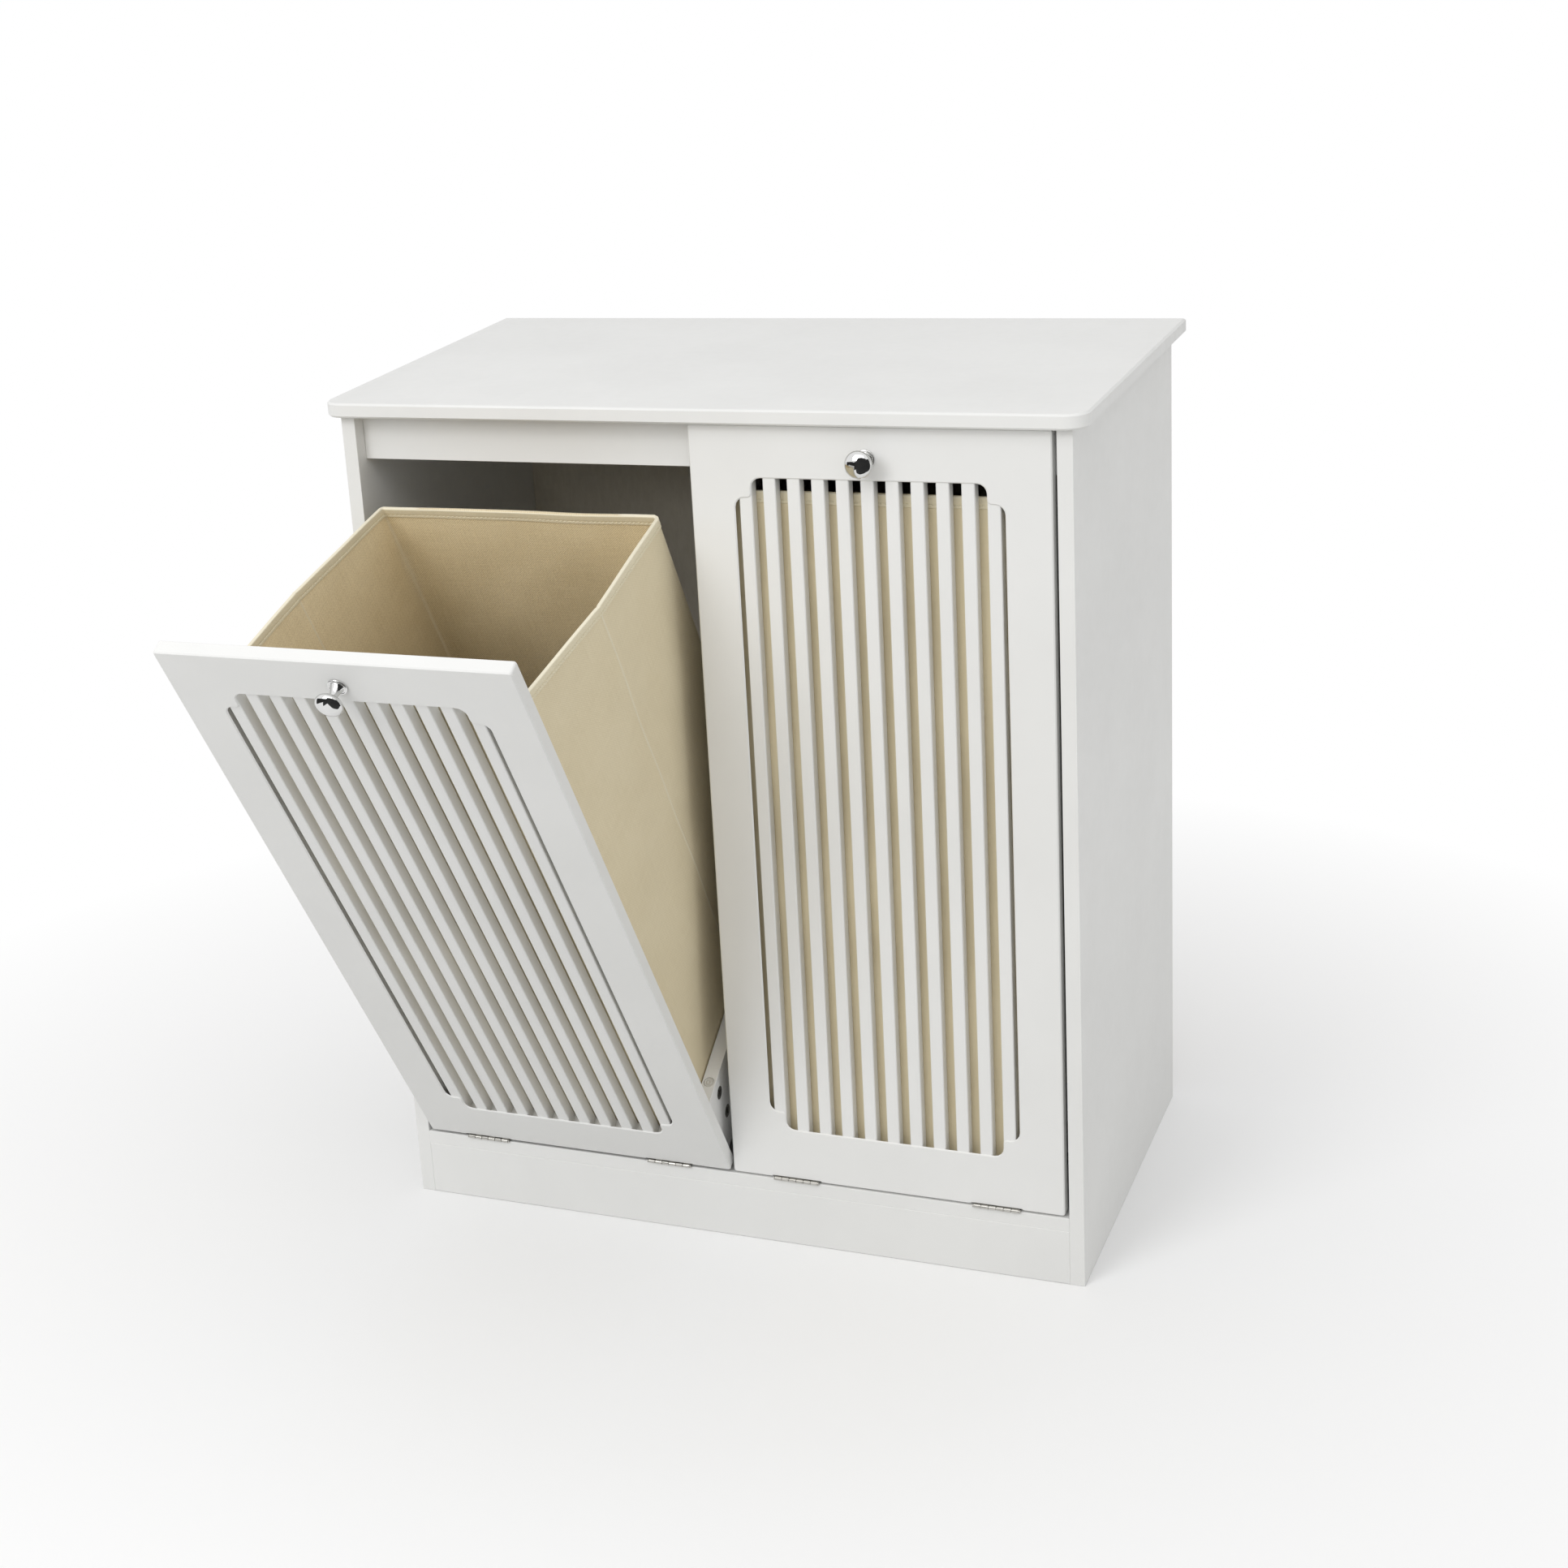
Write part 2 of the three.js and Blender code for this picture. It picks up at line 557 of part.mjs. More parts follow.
// A cam is a short drum with a cross slot in its face, flush with the board's outer face.
function trayCam(side, z) {
  const y = DOOR_BACK + CAM_SETBACK;
  const span = mirrored([TRAY_OUTER - CAM_DEPTH, TRAY_OUTER - SEAT_GAP], side);
  let solid = solidOf(rod("x", [y, z], CAM_RADIUS, span));
  const face = [TRAY_OUTER - SEAT_GAP - CAM_SLOT_DEPTH, TRAY_OUTER + CUT_OVERRUN];
  const slotX = mirrored(face, side);
  const reach = CAM_RADIUS - CAM_SLOT_WIDTH;
  const thin = CAM_SLOT_WIDTH / 2;
  for (const [halfY, halfZ] of [[reach, thin], [thin, reach]]) {
    const slot = board(slotX, [y - halfY, y + halfY], [z - halfZ, z + halfZ], "x", 0);
    solid = solid.subtract(solidOf(slot));
  }
  return geometryOf(solid);
}

function trayPlug(side) {
  const x = side * (TRAY_INNER + TRAY_BOARD / 2);
  const y = DOOR_BACK + CAM_SETBACK;
  const drum = rod("z", [x, y], PLUG_RADIUS, [TRAY_HIGH - PLUG_DEPTH, TRAY_HIGH - SEAT_GAP]);
  const dishSpan = [TRAY_HIGH - SEAT_GAP - PLUG_DISH_DEPTH, TRAY_HIGH + CUT_OVERRUN];
  const dish = rod("z", [x, y], PLUG_DISH_RADIUS, dishSpan);
  return geometryOf(solidOf(drum).subtract(solidOf(dish)));
}

function trayBack() {
  const inside = TRAY_BACK - TRAY_BOARD;
  const grooveLow = TRAY_FLOOR_LOW - SEAT_GAP;
  const grooveHigh = TRAY_FLOOR_HIGH + SEAT_GAP;
  const section = [
    [inside, TRAY_LOW],
    [TRAY_BACK, TRAY_LOW, BOARD_EASE],
    [TRAY_BACK, TRAY_HIGH, BOARD_EASE],
    [inside, TRAY_HIGH, BOARD_EASE],
    [inside, grooveHigh],
    [inside + TRAY_GROOVE_DEPTH, grooveHigh],
    [inside + TRAY_GROOVE_DEPTH, grooveLow],
    [inside, grooveLow],
  ];
  const reach = TRAY_INNER - SEAT_GAP;
  return prism(outline(section), "x", [-reach, reach]);
}

function trayFloor() {
  const reach = TRAY_INNER + TRAY_GROOVE_DEPTH - SEAT_GAP;
  const back = TRAY_BACK - TRAY_BOARD + TRAY_GROOVE_DEPTH - SEAT_GAP;
  return board([-reach, reach], [TRAY_FRONT, back], [TRAY_FLOOR_LOW, TRAY_FLOOR_HIGH], "z", 0);
}

// Where the bag's rim lies over a point y: it falls in a straight line from front to back.
function bagRimAt(y) {
  const front = DOOR_BACK + BAG_FRONT_CLEARANCE;
  const back = TRAY_BACK - TRAY_BOARD - BAG_REAR_CLEARANCE + BAG_FLARE;
  return DOOR_HIGH - BAG_DROP_FRONT - (BAG_RIM_FALL * (y - front)) / (back - front);
}

// One ring round the bag, seen from above. rise runs from 0 at the bag's floor to 1 at its rim,
// and the rear wall leans back with it.
function bagRing(rise, inset, heightAt) {
  const halfWidth = TRAY_INNER - BAG_SIDE_CLEARANCE - inset;
  const front = DOOR_BACK + BAG_FRONT_CLEARANCE + inset;
  const back = TRAY_BACK - TRAY_BOARD - BAG_REAR_CLEARANCE + rise * BAG_FLARE - inset;
  const plan = rectangle([-halfWidth, halfWidth], [front, back]);
  return plan.map(([x, y]) => [x, y, heightAt(y)]);
}

// A closed skin over a stack of rings, with a flat fan over the first ring and the last.
function loft(rings) {
  const count = rings[0].length;
  const positions = rings.flat(2);
  const index = [];
  for (let r = 0; r + 1 < rings.length; r += 1) {
    for (let i = 0; i < count; i += 1) {
      const a = r * count + i;
      const b = r * count + ((i + 1) % count);
      index.push(a, b, b + count, a, b + count, a + count);
    }
  }
  const last = (rings.length - 1) * count;
  for (let i = 1; i + 1 < count; i += 1) {
    index.push(0, i + 1, i, last, last + i, last + i + 1);
  }
  const geometry = new THREE.BufferGeometry();
  geometry.setAttribute("position", new THREE.Float32BufferAttribute(positions, 3));
  geometry.setIndex(index);
  const faceted = geometry.toNonIndexed();
  faceted.computeVertexNormals();
  return faceted;
}

// An open bag with thin walls: its skin runs up the outside, over the hem and down the inside.
function bag() {
  const low = TRAY_FLOOR_HIGH + SEAT_GAP;
  const underHem = (y) => bagRimAt(y) - BAG_HEM_HEIGHT;
  return loft([
    bagRing(0, 0, () => low),
    bagRing(1, 0, underHem),
    bagRing(1, -BAG_HEM_STEP, underHem),
    bagRing(1, -BAG_HEM_STEP, bagRimAt),
    bagRing(1, BAG_WALL, bagRimAt),
    bagRing(0, BAG_WALL, () => low + BAG_WALL),
  ]);
}

// Everything that tips with one door, in a group that turns about the door's hinge axis.
function doorAssembly(name, side, angle) {
  const group = new THREE.Group();
  group.position.set(side * DOOR_CENTRE_X, PIVOT_Y, PIVOT_Z);
  group.rotation.x = angle;
  addPiece(group, `${name}_door`, "white", doorPanel());
  addPiece(group, `${name}_knob`, "chrome", knob());
  addPiece(group, `${name}_knob_screw`, "steel", knobScrew());
  hingePlaces().forEach(([place, x]) => {
    addPiece(group, `${name}_hinge_${place}_door_leaf`, "steel", hingeLeaf(x, true));
  });
  for (const [place, hand] of [["left", -1], ["right", 1]]) {
    addPiece(group, `${name}_tray_${place}_side`, "white", traySide(hand));
    addPiece(group, `${name}_tray_${place}_plug`, "plastic", trayPlug(hand));
    const [upper, lower] = camHeights();
    addPiece(group, `${name}_tray_${place}_upper_cam`, "zinc", trayCam(hand, upper));
    addPiece(group, `${name}_tray_${place}_lower_cam`, "zinc", trayCam(hand, lower));
  }
  addPiece(group, `${name}_tray_back`, "white", trayBack());
  addPiece(group, `${name}_tray_floor`, "fibreboard", trayFloor());
  addPiece(group, `${name}_bag`, "fabric", bag());
  return group;
}

// Where the two hinges of a door start, measured from the door's middle.
function hingePlaces() {
  const half = DOOR_WIDTH / 2;
  return [["left", -half + HINGE_INSET], ["right", half - HINGE_INSET - HINGE_LENGTH]];
}

// The fixed halves of a door's hinges, with their pins, on the bottom board.
function fixedHinges(name, side) {
  const group = new THREE.Group();
  group.position.set(side * DOOR_CENTRE_X, PIVOT_Y, PIVOT_Z);
  hingePlaces().forEach(([place, x]) => {
    addPiece(group, `${name}_hinge_${place}_fixed_leaf`, "steel", hingeLeaf(x, false));
    addPiece(group, `${name}_hinge_${place}_pin`, "steel", hingePin(x));
  });
  return group;
}

// A stop block stands on the face beside a tray and lies along the open tray's top edge.
function stopBlocks(name, side) {
  const group = new THREE.Group();
  group.position.set(0, PIVOT_Y, PIVOT_Z);
  group.rotation.x = OPEN_ANGLE;
  const rear = TRAY_BACK - STOP_REAR_MARGIN;
  const y = [rear - STOP_LENGTH, rear];
  const z = [TRAY_HIGH + SEAT_GAP, TRAY_HIGH + SEAT_GAP + STOP_HEIGHT];
  const innerFace = DOOR_CENTRE_X - TRAY_OUTER + STOP_OVERLAP;
  const outerFace = DOOR_CENTRE_X + TRAY_OUTER - STOP_OVERLAP;
  const inner = mirrored([PARTITION_X, innerFace], side);
  const outer = mirrored([outerFace, INNER_X], side);
  addPiece(group, `${name}_inner_stop_block`, "white", board(inner, y, z, "x"));
  addPiece(group, `${name}_outer_stop_block`, "white", board(outer, y, z, "x"));
  return group;
}

function carcass() {
  const group = new THREE.Group();
  const between = [-INNER_X, INNER_X];
  const railY = [RAIL_FRONT, RAIL_BACK];
  const plinthY = [FRONT_Y, FRONT_Y + CARCASS_BOARD];
  addPiece(group, "top_board", "white", topBoard());
  addPiece(group, "left_side_panel", "white", sidePanel(-1));
  addPiece(group, "right_side_panel", "white", sidePanel(1));
  addPiece(
    group,
    "centre_partition",
    "white",
    board([-PARTITION_X, PARTITION_X], [RAIL_BACK, BACK_PANEL_FRONT], [BOTTOM_TOP, SIDE_HEIGHT], "x"),
  );
  addPiece(group, "front_rail", "white", board(between, railY, [RAIL_BOTTOM, SIDE_HEIGHT], "y"));
  addPiece(
    group,
    "bottom_board",
    "white",
    board(between, [FRONT_Y, BACK_PANEL_FRONT], [PLINTH_HEIGHT, BOTTOM_TOP], "z"),
  );
  addPiece(group, "plinth_board", "white", board(between, plinthY, [0, PLINTH_HEIGHT], "y"));
  addPiece(group, "back_panel", "fibreboard", backPanel());
  return group;
}

const cabinet = new THREE.Group();
cabinet.name = "tilt_out_laundry_cabinet";
cabinet.add(carcass());
for (const [name, side, angle] of [["left", -1, OPEN_ANGLE], ["right", 1, 0]]) {
  cabinet.add(fixedHinges(name, side));
  cabinet.add(stopBlocks(name, side));
  cabinet.add(doorAssembly(name, side, angle));
}

export default cabinet;
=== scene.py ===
"""A white laundry cabinet with two slatted doors that tip forward, dressed for a studio picture.

The boards, doors, trays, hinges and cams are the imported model's own pieces, with new finishes.
The fabric bags, their hems and stitching, the knobs and the plugs are surfaces worked out here.
Lengths are in metres. The floor is at z = 0 and the doors face -Y.
"""

import json
import math

import bmesh
import bpy
import numpy as np
from mathutils import Matrix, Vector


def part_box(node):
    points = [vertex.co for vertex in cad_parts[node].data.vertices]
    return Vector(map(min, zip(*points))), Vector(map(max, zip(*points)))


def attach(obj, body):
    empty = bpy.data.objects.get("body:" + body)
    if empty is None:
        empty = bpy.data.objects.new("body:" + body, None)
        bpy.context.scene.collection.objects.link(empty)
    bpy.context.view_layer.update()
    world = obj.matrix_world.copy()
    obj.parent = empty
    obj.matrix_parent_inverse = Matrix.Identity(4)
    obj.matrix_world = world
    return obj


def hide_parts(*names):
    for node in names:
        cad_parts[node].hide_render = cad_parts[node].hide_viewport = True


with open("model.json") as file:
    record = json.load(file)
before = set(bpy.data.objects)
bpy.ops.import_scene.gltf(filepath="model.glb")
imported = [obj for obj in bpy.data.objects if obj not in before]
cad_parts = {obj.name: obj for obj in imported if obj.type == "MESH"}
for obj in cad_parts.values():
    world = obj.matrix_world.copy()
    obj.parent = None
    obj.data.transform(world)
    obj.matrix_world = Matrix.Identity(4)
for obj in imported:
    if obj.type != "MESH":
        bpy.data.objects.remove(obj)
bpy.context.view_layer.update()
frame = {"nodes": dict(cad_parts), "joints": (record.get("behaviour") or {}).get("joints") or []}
nodes = frame["nodes"]
joints = {joint["name"]: joint for joint in frame["joints"]}

MM = 0.001
HANDS = ("left", "right")

# Finishes
BOARD_GLOSS = 0.42
THREAD_WOBBLE = 0.5 * MM

# Camera, in the part's frame
CAMERA_PLACE = (0.9357, -2.3228, 1.4340)
CAMERA_YAW = math.radians(25.16)
CAMERA_PITCH = math.radians(19.30)
CAMERA_ROLL = math.radians(4.69)
CAMERA_LENS_MM = 60.79
CAMERA_SENSOR_MM = 36
CAMERA_SHIFT = (0.1378, -0.0208)

# Studio, with places in metres and powers in watts
WORLD_LEVEL = 0.69
FLOOR_GAP = 0.2 * MM
FLOOR_RADII = (0, 1, 3, 8, 20.0)
FLOOR_FADE = (0.4, 1.4)
FLOOR_SEEN = (0.93, 0.93, 0.93)
FLOOR_LIGHTING = (0.62, 0.62, 0.61)
MIDDLE = (0, 0, 0.6)
LIGHTS = {
    "key_softbox": {"place": (-1.0, -2.8, 2.3), "size": (1.5, 1.5), "power": 32},
    "high_softbox": {"place": (0.2, -2.2, 3.0), "size": (3.0, 1.5), "power": 20},
    "side_softbox": {"place": (3.2, -0.5, 1.3), "size": (1.6, 1.6), "power": 7},
}

# The dark card's outline on the floor, near the cabinet and far from it, and its top's heights
DARK_CARD_COLOUR = (0.02, 0.02, 0.02, 1)
DARK_CARD_HEIGHT = 0.02
DARK_CARD_NEAR = [
    (-1.50, -0.55), (-1.15, -1.95), (-0.72, -0.95), (-0.42, -1.70),
    (-0.15, -0.85), (0.10, -0.62), (0.75, -0.55), (1.30, -0.10),
]
DARK_CARD_FAR = [
    (-2.40, -0.80), (-1.60, -2.25), (-1.00, -2.45), (-0.50, -2.35),
    (-0.20, -2.15), (0.65, -1.80), (1.85, -1.25), (2.45, -0.05),
]
DARK_CARD_TOP = [0.95, 1.15, 1.05, 1.25, 1.90, 2.15, 1.90, 2.05]

# Bags
BAG_SIDE_CLEARANCE = 1.6 * MM
BAG_FRONT_CLEARANCE = 1.4 * MM
BAG_REAR_CLEARANCE = 2.0 * MM
BAG_FLOOR_CLEARANCE = 0.4 * MM
BAG_WALL = 2.2 * MM
BAG_DROP_FRONT = 68 * MM
BAG_RIM_FALL = 116.5 * MM
BAG_FLARE = 7 * MM
BAG_FOLD_REACH = 9 * MM
BAG_REAR_BOW = 2.5 * MM
BAG_FRONT_HOLLOW = 1.8 * MM
BAG_CORNER_RADIUS = 5 * MM
BAG_CORNER_STEPS = 5
BAG_WALL_STEP = 9 * MM
BAG_FOLD_COLUMNS = np.array([-6, -4, -2.5, -1.5, -0.8, 0, 0.8, 1.5, 2.5, 4, 6]) * MM
BAG_RIM_SAG = 1.2 * MM
BAG_WAVE = 0.7 * MM
FOLD_RIDGE = 0.5 * MM
FOLD_RIDGE_WIDTH = 1.6 * MM
# Width of the painted highlight along a pressed fold, and how much paler the corners are
FOLD_HIGHLIGHT_WIDTH = 1.1 * MM
CORNER_PALING = 0.5
HEM_HEIGHT = 12 * MM
HEM_STEP = 0.8 * MM
HEM_ROUND = 0.5 * MM
HEM_OVERLAP = 0.3 * MM
# Width of the paler cloth along the hem's top edge
HEM_EDGE_PALING_WIDTH = 1.2 * MM
HEM_CORNER_STEPS = 8
STITCH_DROP = 8.6 * MM
STITCH_PITCH = 4.6 * MM
STITCH_LENGTH = 3.8 * MM
STITCH_RADIUS = 0.55 * MM
STITCH_SLANT = 0.7 * MM
STITCH_DENT = 0.5 * MM
STITCH_DENT_WIDTH = 0.9 * MM
STITCH_DENT_REACH = 1.2 * MM
STITCH_SINK = 0.1 * MM
PUCKER = 0.07 * MM
PUCKER_WIDTH = 2.5 * MM
BASE_PAD_INSET = 1.2 * MM
BASE_PAD_THICKNESS = 2.5 * MM
BASE_PAD_GAP = 0.3 * MM
BASE_PAD_CORNER_STEPS = 6
BASE_PAD_WALL_STEP = 12 * MM
WEAVE_PITCH = 2.4 * MM

# Heights over the hinge axis between which the lining's colour goes from painted shade deep in the
# bag to painted light near the rim, by the factor below
LINING_DEEP = 330 * MM
LINING_HIGH = 610 * MM
LINING_PAINTED_TOP_LIGHT = 1.22

# Knobs
KNOB_FLANGE_RADIUS = 9.7 * MM
KNOB_RIM_THICKNESS = 2 * MM
KNOB_DISH_HEIGHT = 1.5 * MM
KNOB_SHOULDER_RADIUS = 6.9 * MM
KNOB_NECK_RADIUS = 3.7 * MM
KNOB_NECK_CURVE = 1.7
KNOB_FILLET = 1.1 * MM
KNOB_HEAD_RADIUS = 13.5 * MM
KNOB_HEAD_LENGTH = 14.5 * MM


def place_on_door(points, name):
    """Moves points to the part's frame from a closed door's, whose origin is its hinge axis."""
    joint = joints[name + "_door_tilt"]
    stored_open = -math.radians(min(joint["range_deg"]))
    cosine, sine = math.cos(stored_open), math.sin(stored_open)
    turn = np.array([[1, 0, 0], [0, cosine, -sine], [0, sine, cosine]])
    return points @ turn.T + np.array(joint["pos_m"])


def surface(name, points, uv=None, fold_highlight_and_paling=None, lining_row=None, reverse=False):
    """Quads over a grid of points, (..., rows, columns, 3), with one mesh for all leading grids.

    Points that coincide, such as a seam's two ends or a pole's ring, are merged afterwards.
    A number may be given for each point for pale marks on the cloth, among them a painted highlight
    along a pressed fold. Rows from lining_row on take the piece's second material.
    """
    rows, columns = points.shape[-3:-1]
    grids = int(np.prod(points.shape[:-3], dtype=int))
    index = np.arange(grids * rows * columns).reshape(grids, rows, columns)
    corners = [index[:, :-1, :-1], index[:, :-1, 1:], index[:, 1:, 1:], index[:, 1:, :-1]]
    quads = np.stack(corners[::-1] if reverse else corners, axis=-1).reshape(-1, 4)
    mesh = bpy.data.meshes.new(name)
    mesh.from_pydata(points.reshape(-1, 3).tolist(), [], quads.tolist())
    if uv is not None:
        layer = mesh.uv_layers.new(name="weave")
        layer.data.foreach_set("uv", uv.reshape(-1, 2)[quads.ravel()].astype(np.float32).ravel())
    if fold_highlight_and_paling is not None:
        layer = mesh.attributes.new("fold_highlight_and_paling", "FLOAT", "POINT")
        layer.data.foreach_set("value", fold_highlight_and_paling.astype(np.float32).ravel())
    if lining_row is not None:
        row = np.broadcast_to(np.arange(rows - 1)[:, None], (grids, rows - 1, columns - 1))
        mesh.polygons.foreach_set("material_index", (row >= lining_row).astype(np.int32).ravel())
    work = bmesh.new()
    work.from_mesh(mesh)
    bmesh.ops.remove_doubles(work, verts=work.verts, dist=1e-7)
    work.to_mesh(mesh)
    work.free()
    mesh.polygons.foreach_set("use_smooth", [True] * len(mesh.polygons))
    piece = bpy.data.objects.new(name, mesh)
    bpy.context.scene.collection.objects.link(piece)
    return piece


def dress(piece, materials, body, slot, *replaced):
    """Gives a new piece its materials and the body it rides on, and hides the imported pieces it
    stands for. The slot is not used.
    """
    for material in materials:
        piece.data.materials.append(material)
    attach(piece, body)
    if replaced:
        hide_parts(*replaced)
    return piece


# Node trees

def new_material(name):
    material = bpy.data.materials.new(name)
    material.use_nodes = True
    tree = material.node_tree
    return material, tree, tree.nodes["Principled BSDF"]


def add(tree, kind, inputs=None, **settings):
    """Adds a node. An input is a value, or another node's output socket."""
    made = tree.nodes.new("ShaderNode" + kind)
    for key, value in settings.items():
        setattr(made, key, value)
    for key, value in (inputs or {}).items():
        socket = made.inputs[key]
        if isinstance(value, bpy.types.NodeSocket):
            tree.links.new(value, socket)
        else:
            socket.default_value = value
    return made


def maths(tree, operation, first, second=0.0):
    return add(tree, "Math", {0: first, 1: second}, operation=operation).outputs[0]


def noise(tree, vector, scale, detail=3.0, roughness=0.5):
    inputs = {"Vector": vector, "Scale": scale, "Detail": detail, "Roughness": roughness}
    return add(tree, "TexNoise", inputs).outputs["Fac"]


def between(tree, factor, low, high, start=0.0, end=1.0):
    """A number from low to high as a factor goes from start to end."""
    inputs = {"Value": factor, "From Min": start, "From Max": end, "To Min": low, "To Max": high}
    return add(tree, "MapRange", inputs).outputs[0]


def blend_colours(tree, factor, first, second):
    made = add(tree, "Mix", data_type="RGBA")
    tree.links.new(factor, made.inputs["Factor"])
    for socket, value in ((made.inputs[6], first), (made.inputs[7], second)):
        if isinstance(value, bpy.types.NodeSocket):
            tree.links.new(value, socket)
        else:
            socket.default_value = (*value, 1)
    return made.outputs[2]


def stretched(tree, vector, scale):
    """A vector whose three parts are multiplied by the three numbers of scale."""
    return add(tree, "Mapping", {"Vector": vector, "Scale": scale}).outputs[0]


def object_place(tree):
    return add(tree, "TexCoord").outputs["Object"]


def connect(tree, shader, colour=None, roughness=None, height=None, distance=0.0, strength=1.0):
    if colour is not None:
        tree.links.new(colour, shader.inputs["Base Color"])
    if roughness is not None:
        tree.links.new(roughness, shader.inputs["Roughness"])
    if height is not None:
        inputs = {"Height": height, "Distance": distance, "Strength": strength}
        tree.links.new(add(tree, "Bump", inputs).outputs[0], shader.inputs["Normal"])


def board_finish(name, light, dark, rough_low, rough_high):
    """Coated board: faint clouds of tone, a satin that varies a little, and a fine pebbled skin."""
    material, tree, shader = new_material(name)
    place = object_place(tree)
    clouds = noise(tree, place, 7.0, 4.0)
    colour = blend_colours(tree, between(tree, clouds, 0, 1, 0.35, 0.65), dark, light)
    roughness = between(tree, noise(tree, place, 90.0), rough_low, rough_high, 0.3, 0.7)
    pebbles = noise(tree, place, 1400.0, 2.0)
    shader.inputs["Specular IOR Level"].default_value = BOARD_GLOSS
    connect(tree, shader, colour, roughness, pebbles, 0.02 * MM, 0.35)
    return material


def fibreboard_finish():
    """Thin board with a printed face, speckled by the fibres that show through. Its darker, warm
    tone is partly the board's own and partly painted shade with painted warm bounce light from the
    bags.
    """
    material, tree, shader = new_material("printed_fibreboard")
    place = object_place(tree)
    fibres = noise(tree, stretched(tree, place, (220.0, 220.0, 60.0)), 1.0, 4.0, 0.7)
    # The board's pale face, darkened and warmed by painted shade and painted warm bounce light from
    # the bags
    colour = blend_colours(
        tree, between(tree, fibres, 0, 1, 0.3, 0.75), (0.66, 0.615, 0.525), (0.75, 0.705, 0.615)
    )
    roughness = between(tree, fibres, 0.55, 0.7, 0.3, 0.7)
    connect(tree, shader, colour, roughness, fibres, 0.05 * MM, 0.3)
    return material


def cloth_finish(
    name, light, dark, diagonal_share, contrast, speckle, highlight_and_pale_colour=(0.86, 0.81, 0.66), painted_deep_shade=1.0
):
    """Woven cloth on the piece's own UV map, whose two parts are metres round and up the bag.

    A deep factor other than 1 darkens the colour deep in the bag as painted shade, and the colour
    rises to painted light towards the rim.

    With a and b the two thread directions' phases, the weave's height is a mix of the waves
    cos(a - b) and cos(a + b): in equal parts a diamond grid, and in unequal parts a twill line.
    The piece's attribute of pale marks, 1 on a pressed fold, pales the cloth; along the fold that
    paling is a painted highlight.
    """
    material, tree, shader = new_material(name)
    uv = add(tree, "UVMap", uv_map="weave").outputs[0]
    wobble = add(tree, "TexNoise", {"Vector": uv, "Scale": 130.0, "Detail": 2.0}).outputs["Color"]
    inputs = {0: wobble, 1: (0.5, 0.5, 0.5)}
    nudge = add(tree, "VectorMath", inputs, operation="SUBTRACT").outputs[0]
    inputs = {0: nudge, "Scale": THREAD_WOBBLE}
    shifted = add(tree, "VectorMath", inputs, operation="SCALE").outputs[0]
    warped = add(tree, "VectorMath", {0: uv, 1: shifted}, operation="ADD").outputs[0]
    parts = add(tree, "SeparateXYZ", {0: warped})
    turns = 2 * math.pi / WEAVE_PITCH
    across = maths(tree, "MULTIPLY", parts.outputs[0], turns)
    along = maths(tree, "MULTIPLY", parts.outputs[1], turns)
    falling = maths(tree, "COSINE", maths(tree, "SUBTRACT", across, along))
    rising = maths(tree, "COSINE", maths(tree, "ADD", across, along))
    weave = maths(
        tree,
        "SUBTRACT",
        maths(tree, "MULTIPLY", falling, 1 - diagonal_share),
        maths(tree, "MULTIPLY", rising, diagonal_share),
    )
    slubs_across = noise(tree, stretched(tree, uv, (25.0, 700.0, 1.0)), 1.0, 2.0)
    slubs_along = noise(tree, stretched(tree, uv, (700.0, 25.0, 1.0)), 1.0, 2.0)
    slubs = maths(tree, "MULTIPLY", maths(tree, "ADD", slubs_across, slubs_along), 0.5)
    clouds = noise(tree, uv, 14.0, 3.0)
    threads = noise(tree, uv, 620.0, 2.0, 0.7)
    unevenness = maths(
        tree,
        "ADD",
        between(tree, slubs, -0.16, 0.16, 0.35, 0.65),
        between(tree, clouds, -0.10, 0.10, 0.3, 0.7),
    )
    unevenness = maths(
        tree, "ADD", unevenness, between(tree, threads, -speckle, speckle, 0.3, 0.7)
    )
    tone = maths(
        tree, "ADD", between(tree, weave, 0.5 - contrast, 0.5 + contrast, -1, 1), unevenness
    )
    woven = blend_colours(tree, between(tree, tone, 0, 1), dark, light)
    # Painted shade deep in the bag and painted light near its rim, by height up the bag
    if painted_deep_shade != 1.0:
        painted_depth_shade = between(
            tree, parts.outputs[1], painted_deep_shade, LINING_PAINTED_TOP_LIGHT, LINING_DEEP, LINING_HIGH
        )
        inputs = {0: woven, "Scale": painted_depth_shade}
        woven = add(tree, "VectorMath", inputs, operation="SCALE").outputs[0]
    # Pale marks: a painted highlight along a pressed fold, and paler cloth on the corners and the
    # hem's top edge
    fold_highlight_and_paling = add(tree, "Attribute", attribute_name="fold_highlight_and_paling").outputs["Fac"]
    colour = blend_colours(tree, maths(tree, "MULTIPLY", fold_highlight_and_paling, 0.6), woven, highlight_and_pale_colour)
    lifted = maths(tree, "MULTIPLY", slubs, 0.6)
    height = maths(tree, "ADD", between(tree, weave, 0, 1, -1, 1), lifted)
    shader.inputs["Roughness"].default_value = 0.88
    shader.inputs["Specular IOR Level"].default_value = 0.25
    shader.inputs["Sheen Weight"].default_value = 0.12
    shader.inputs["Sheen Roughness"].default_value = 0.5
    connect(tree, shader, colour, None, height, 0.16 * MM, 0.5)
    return material


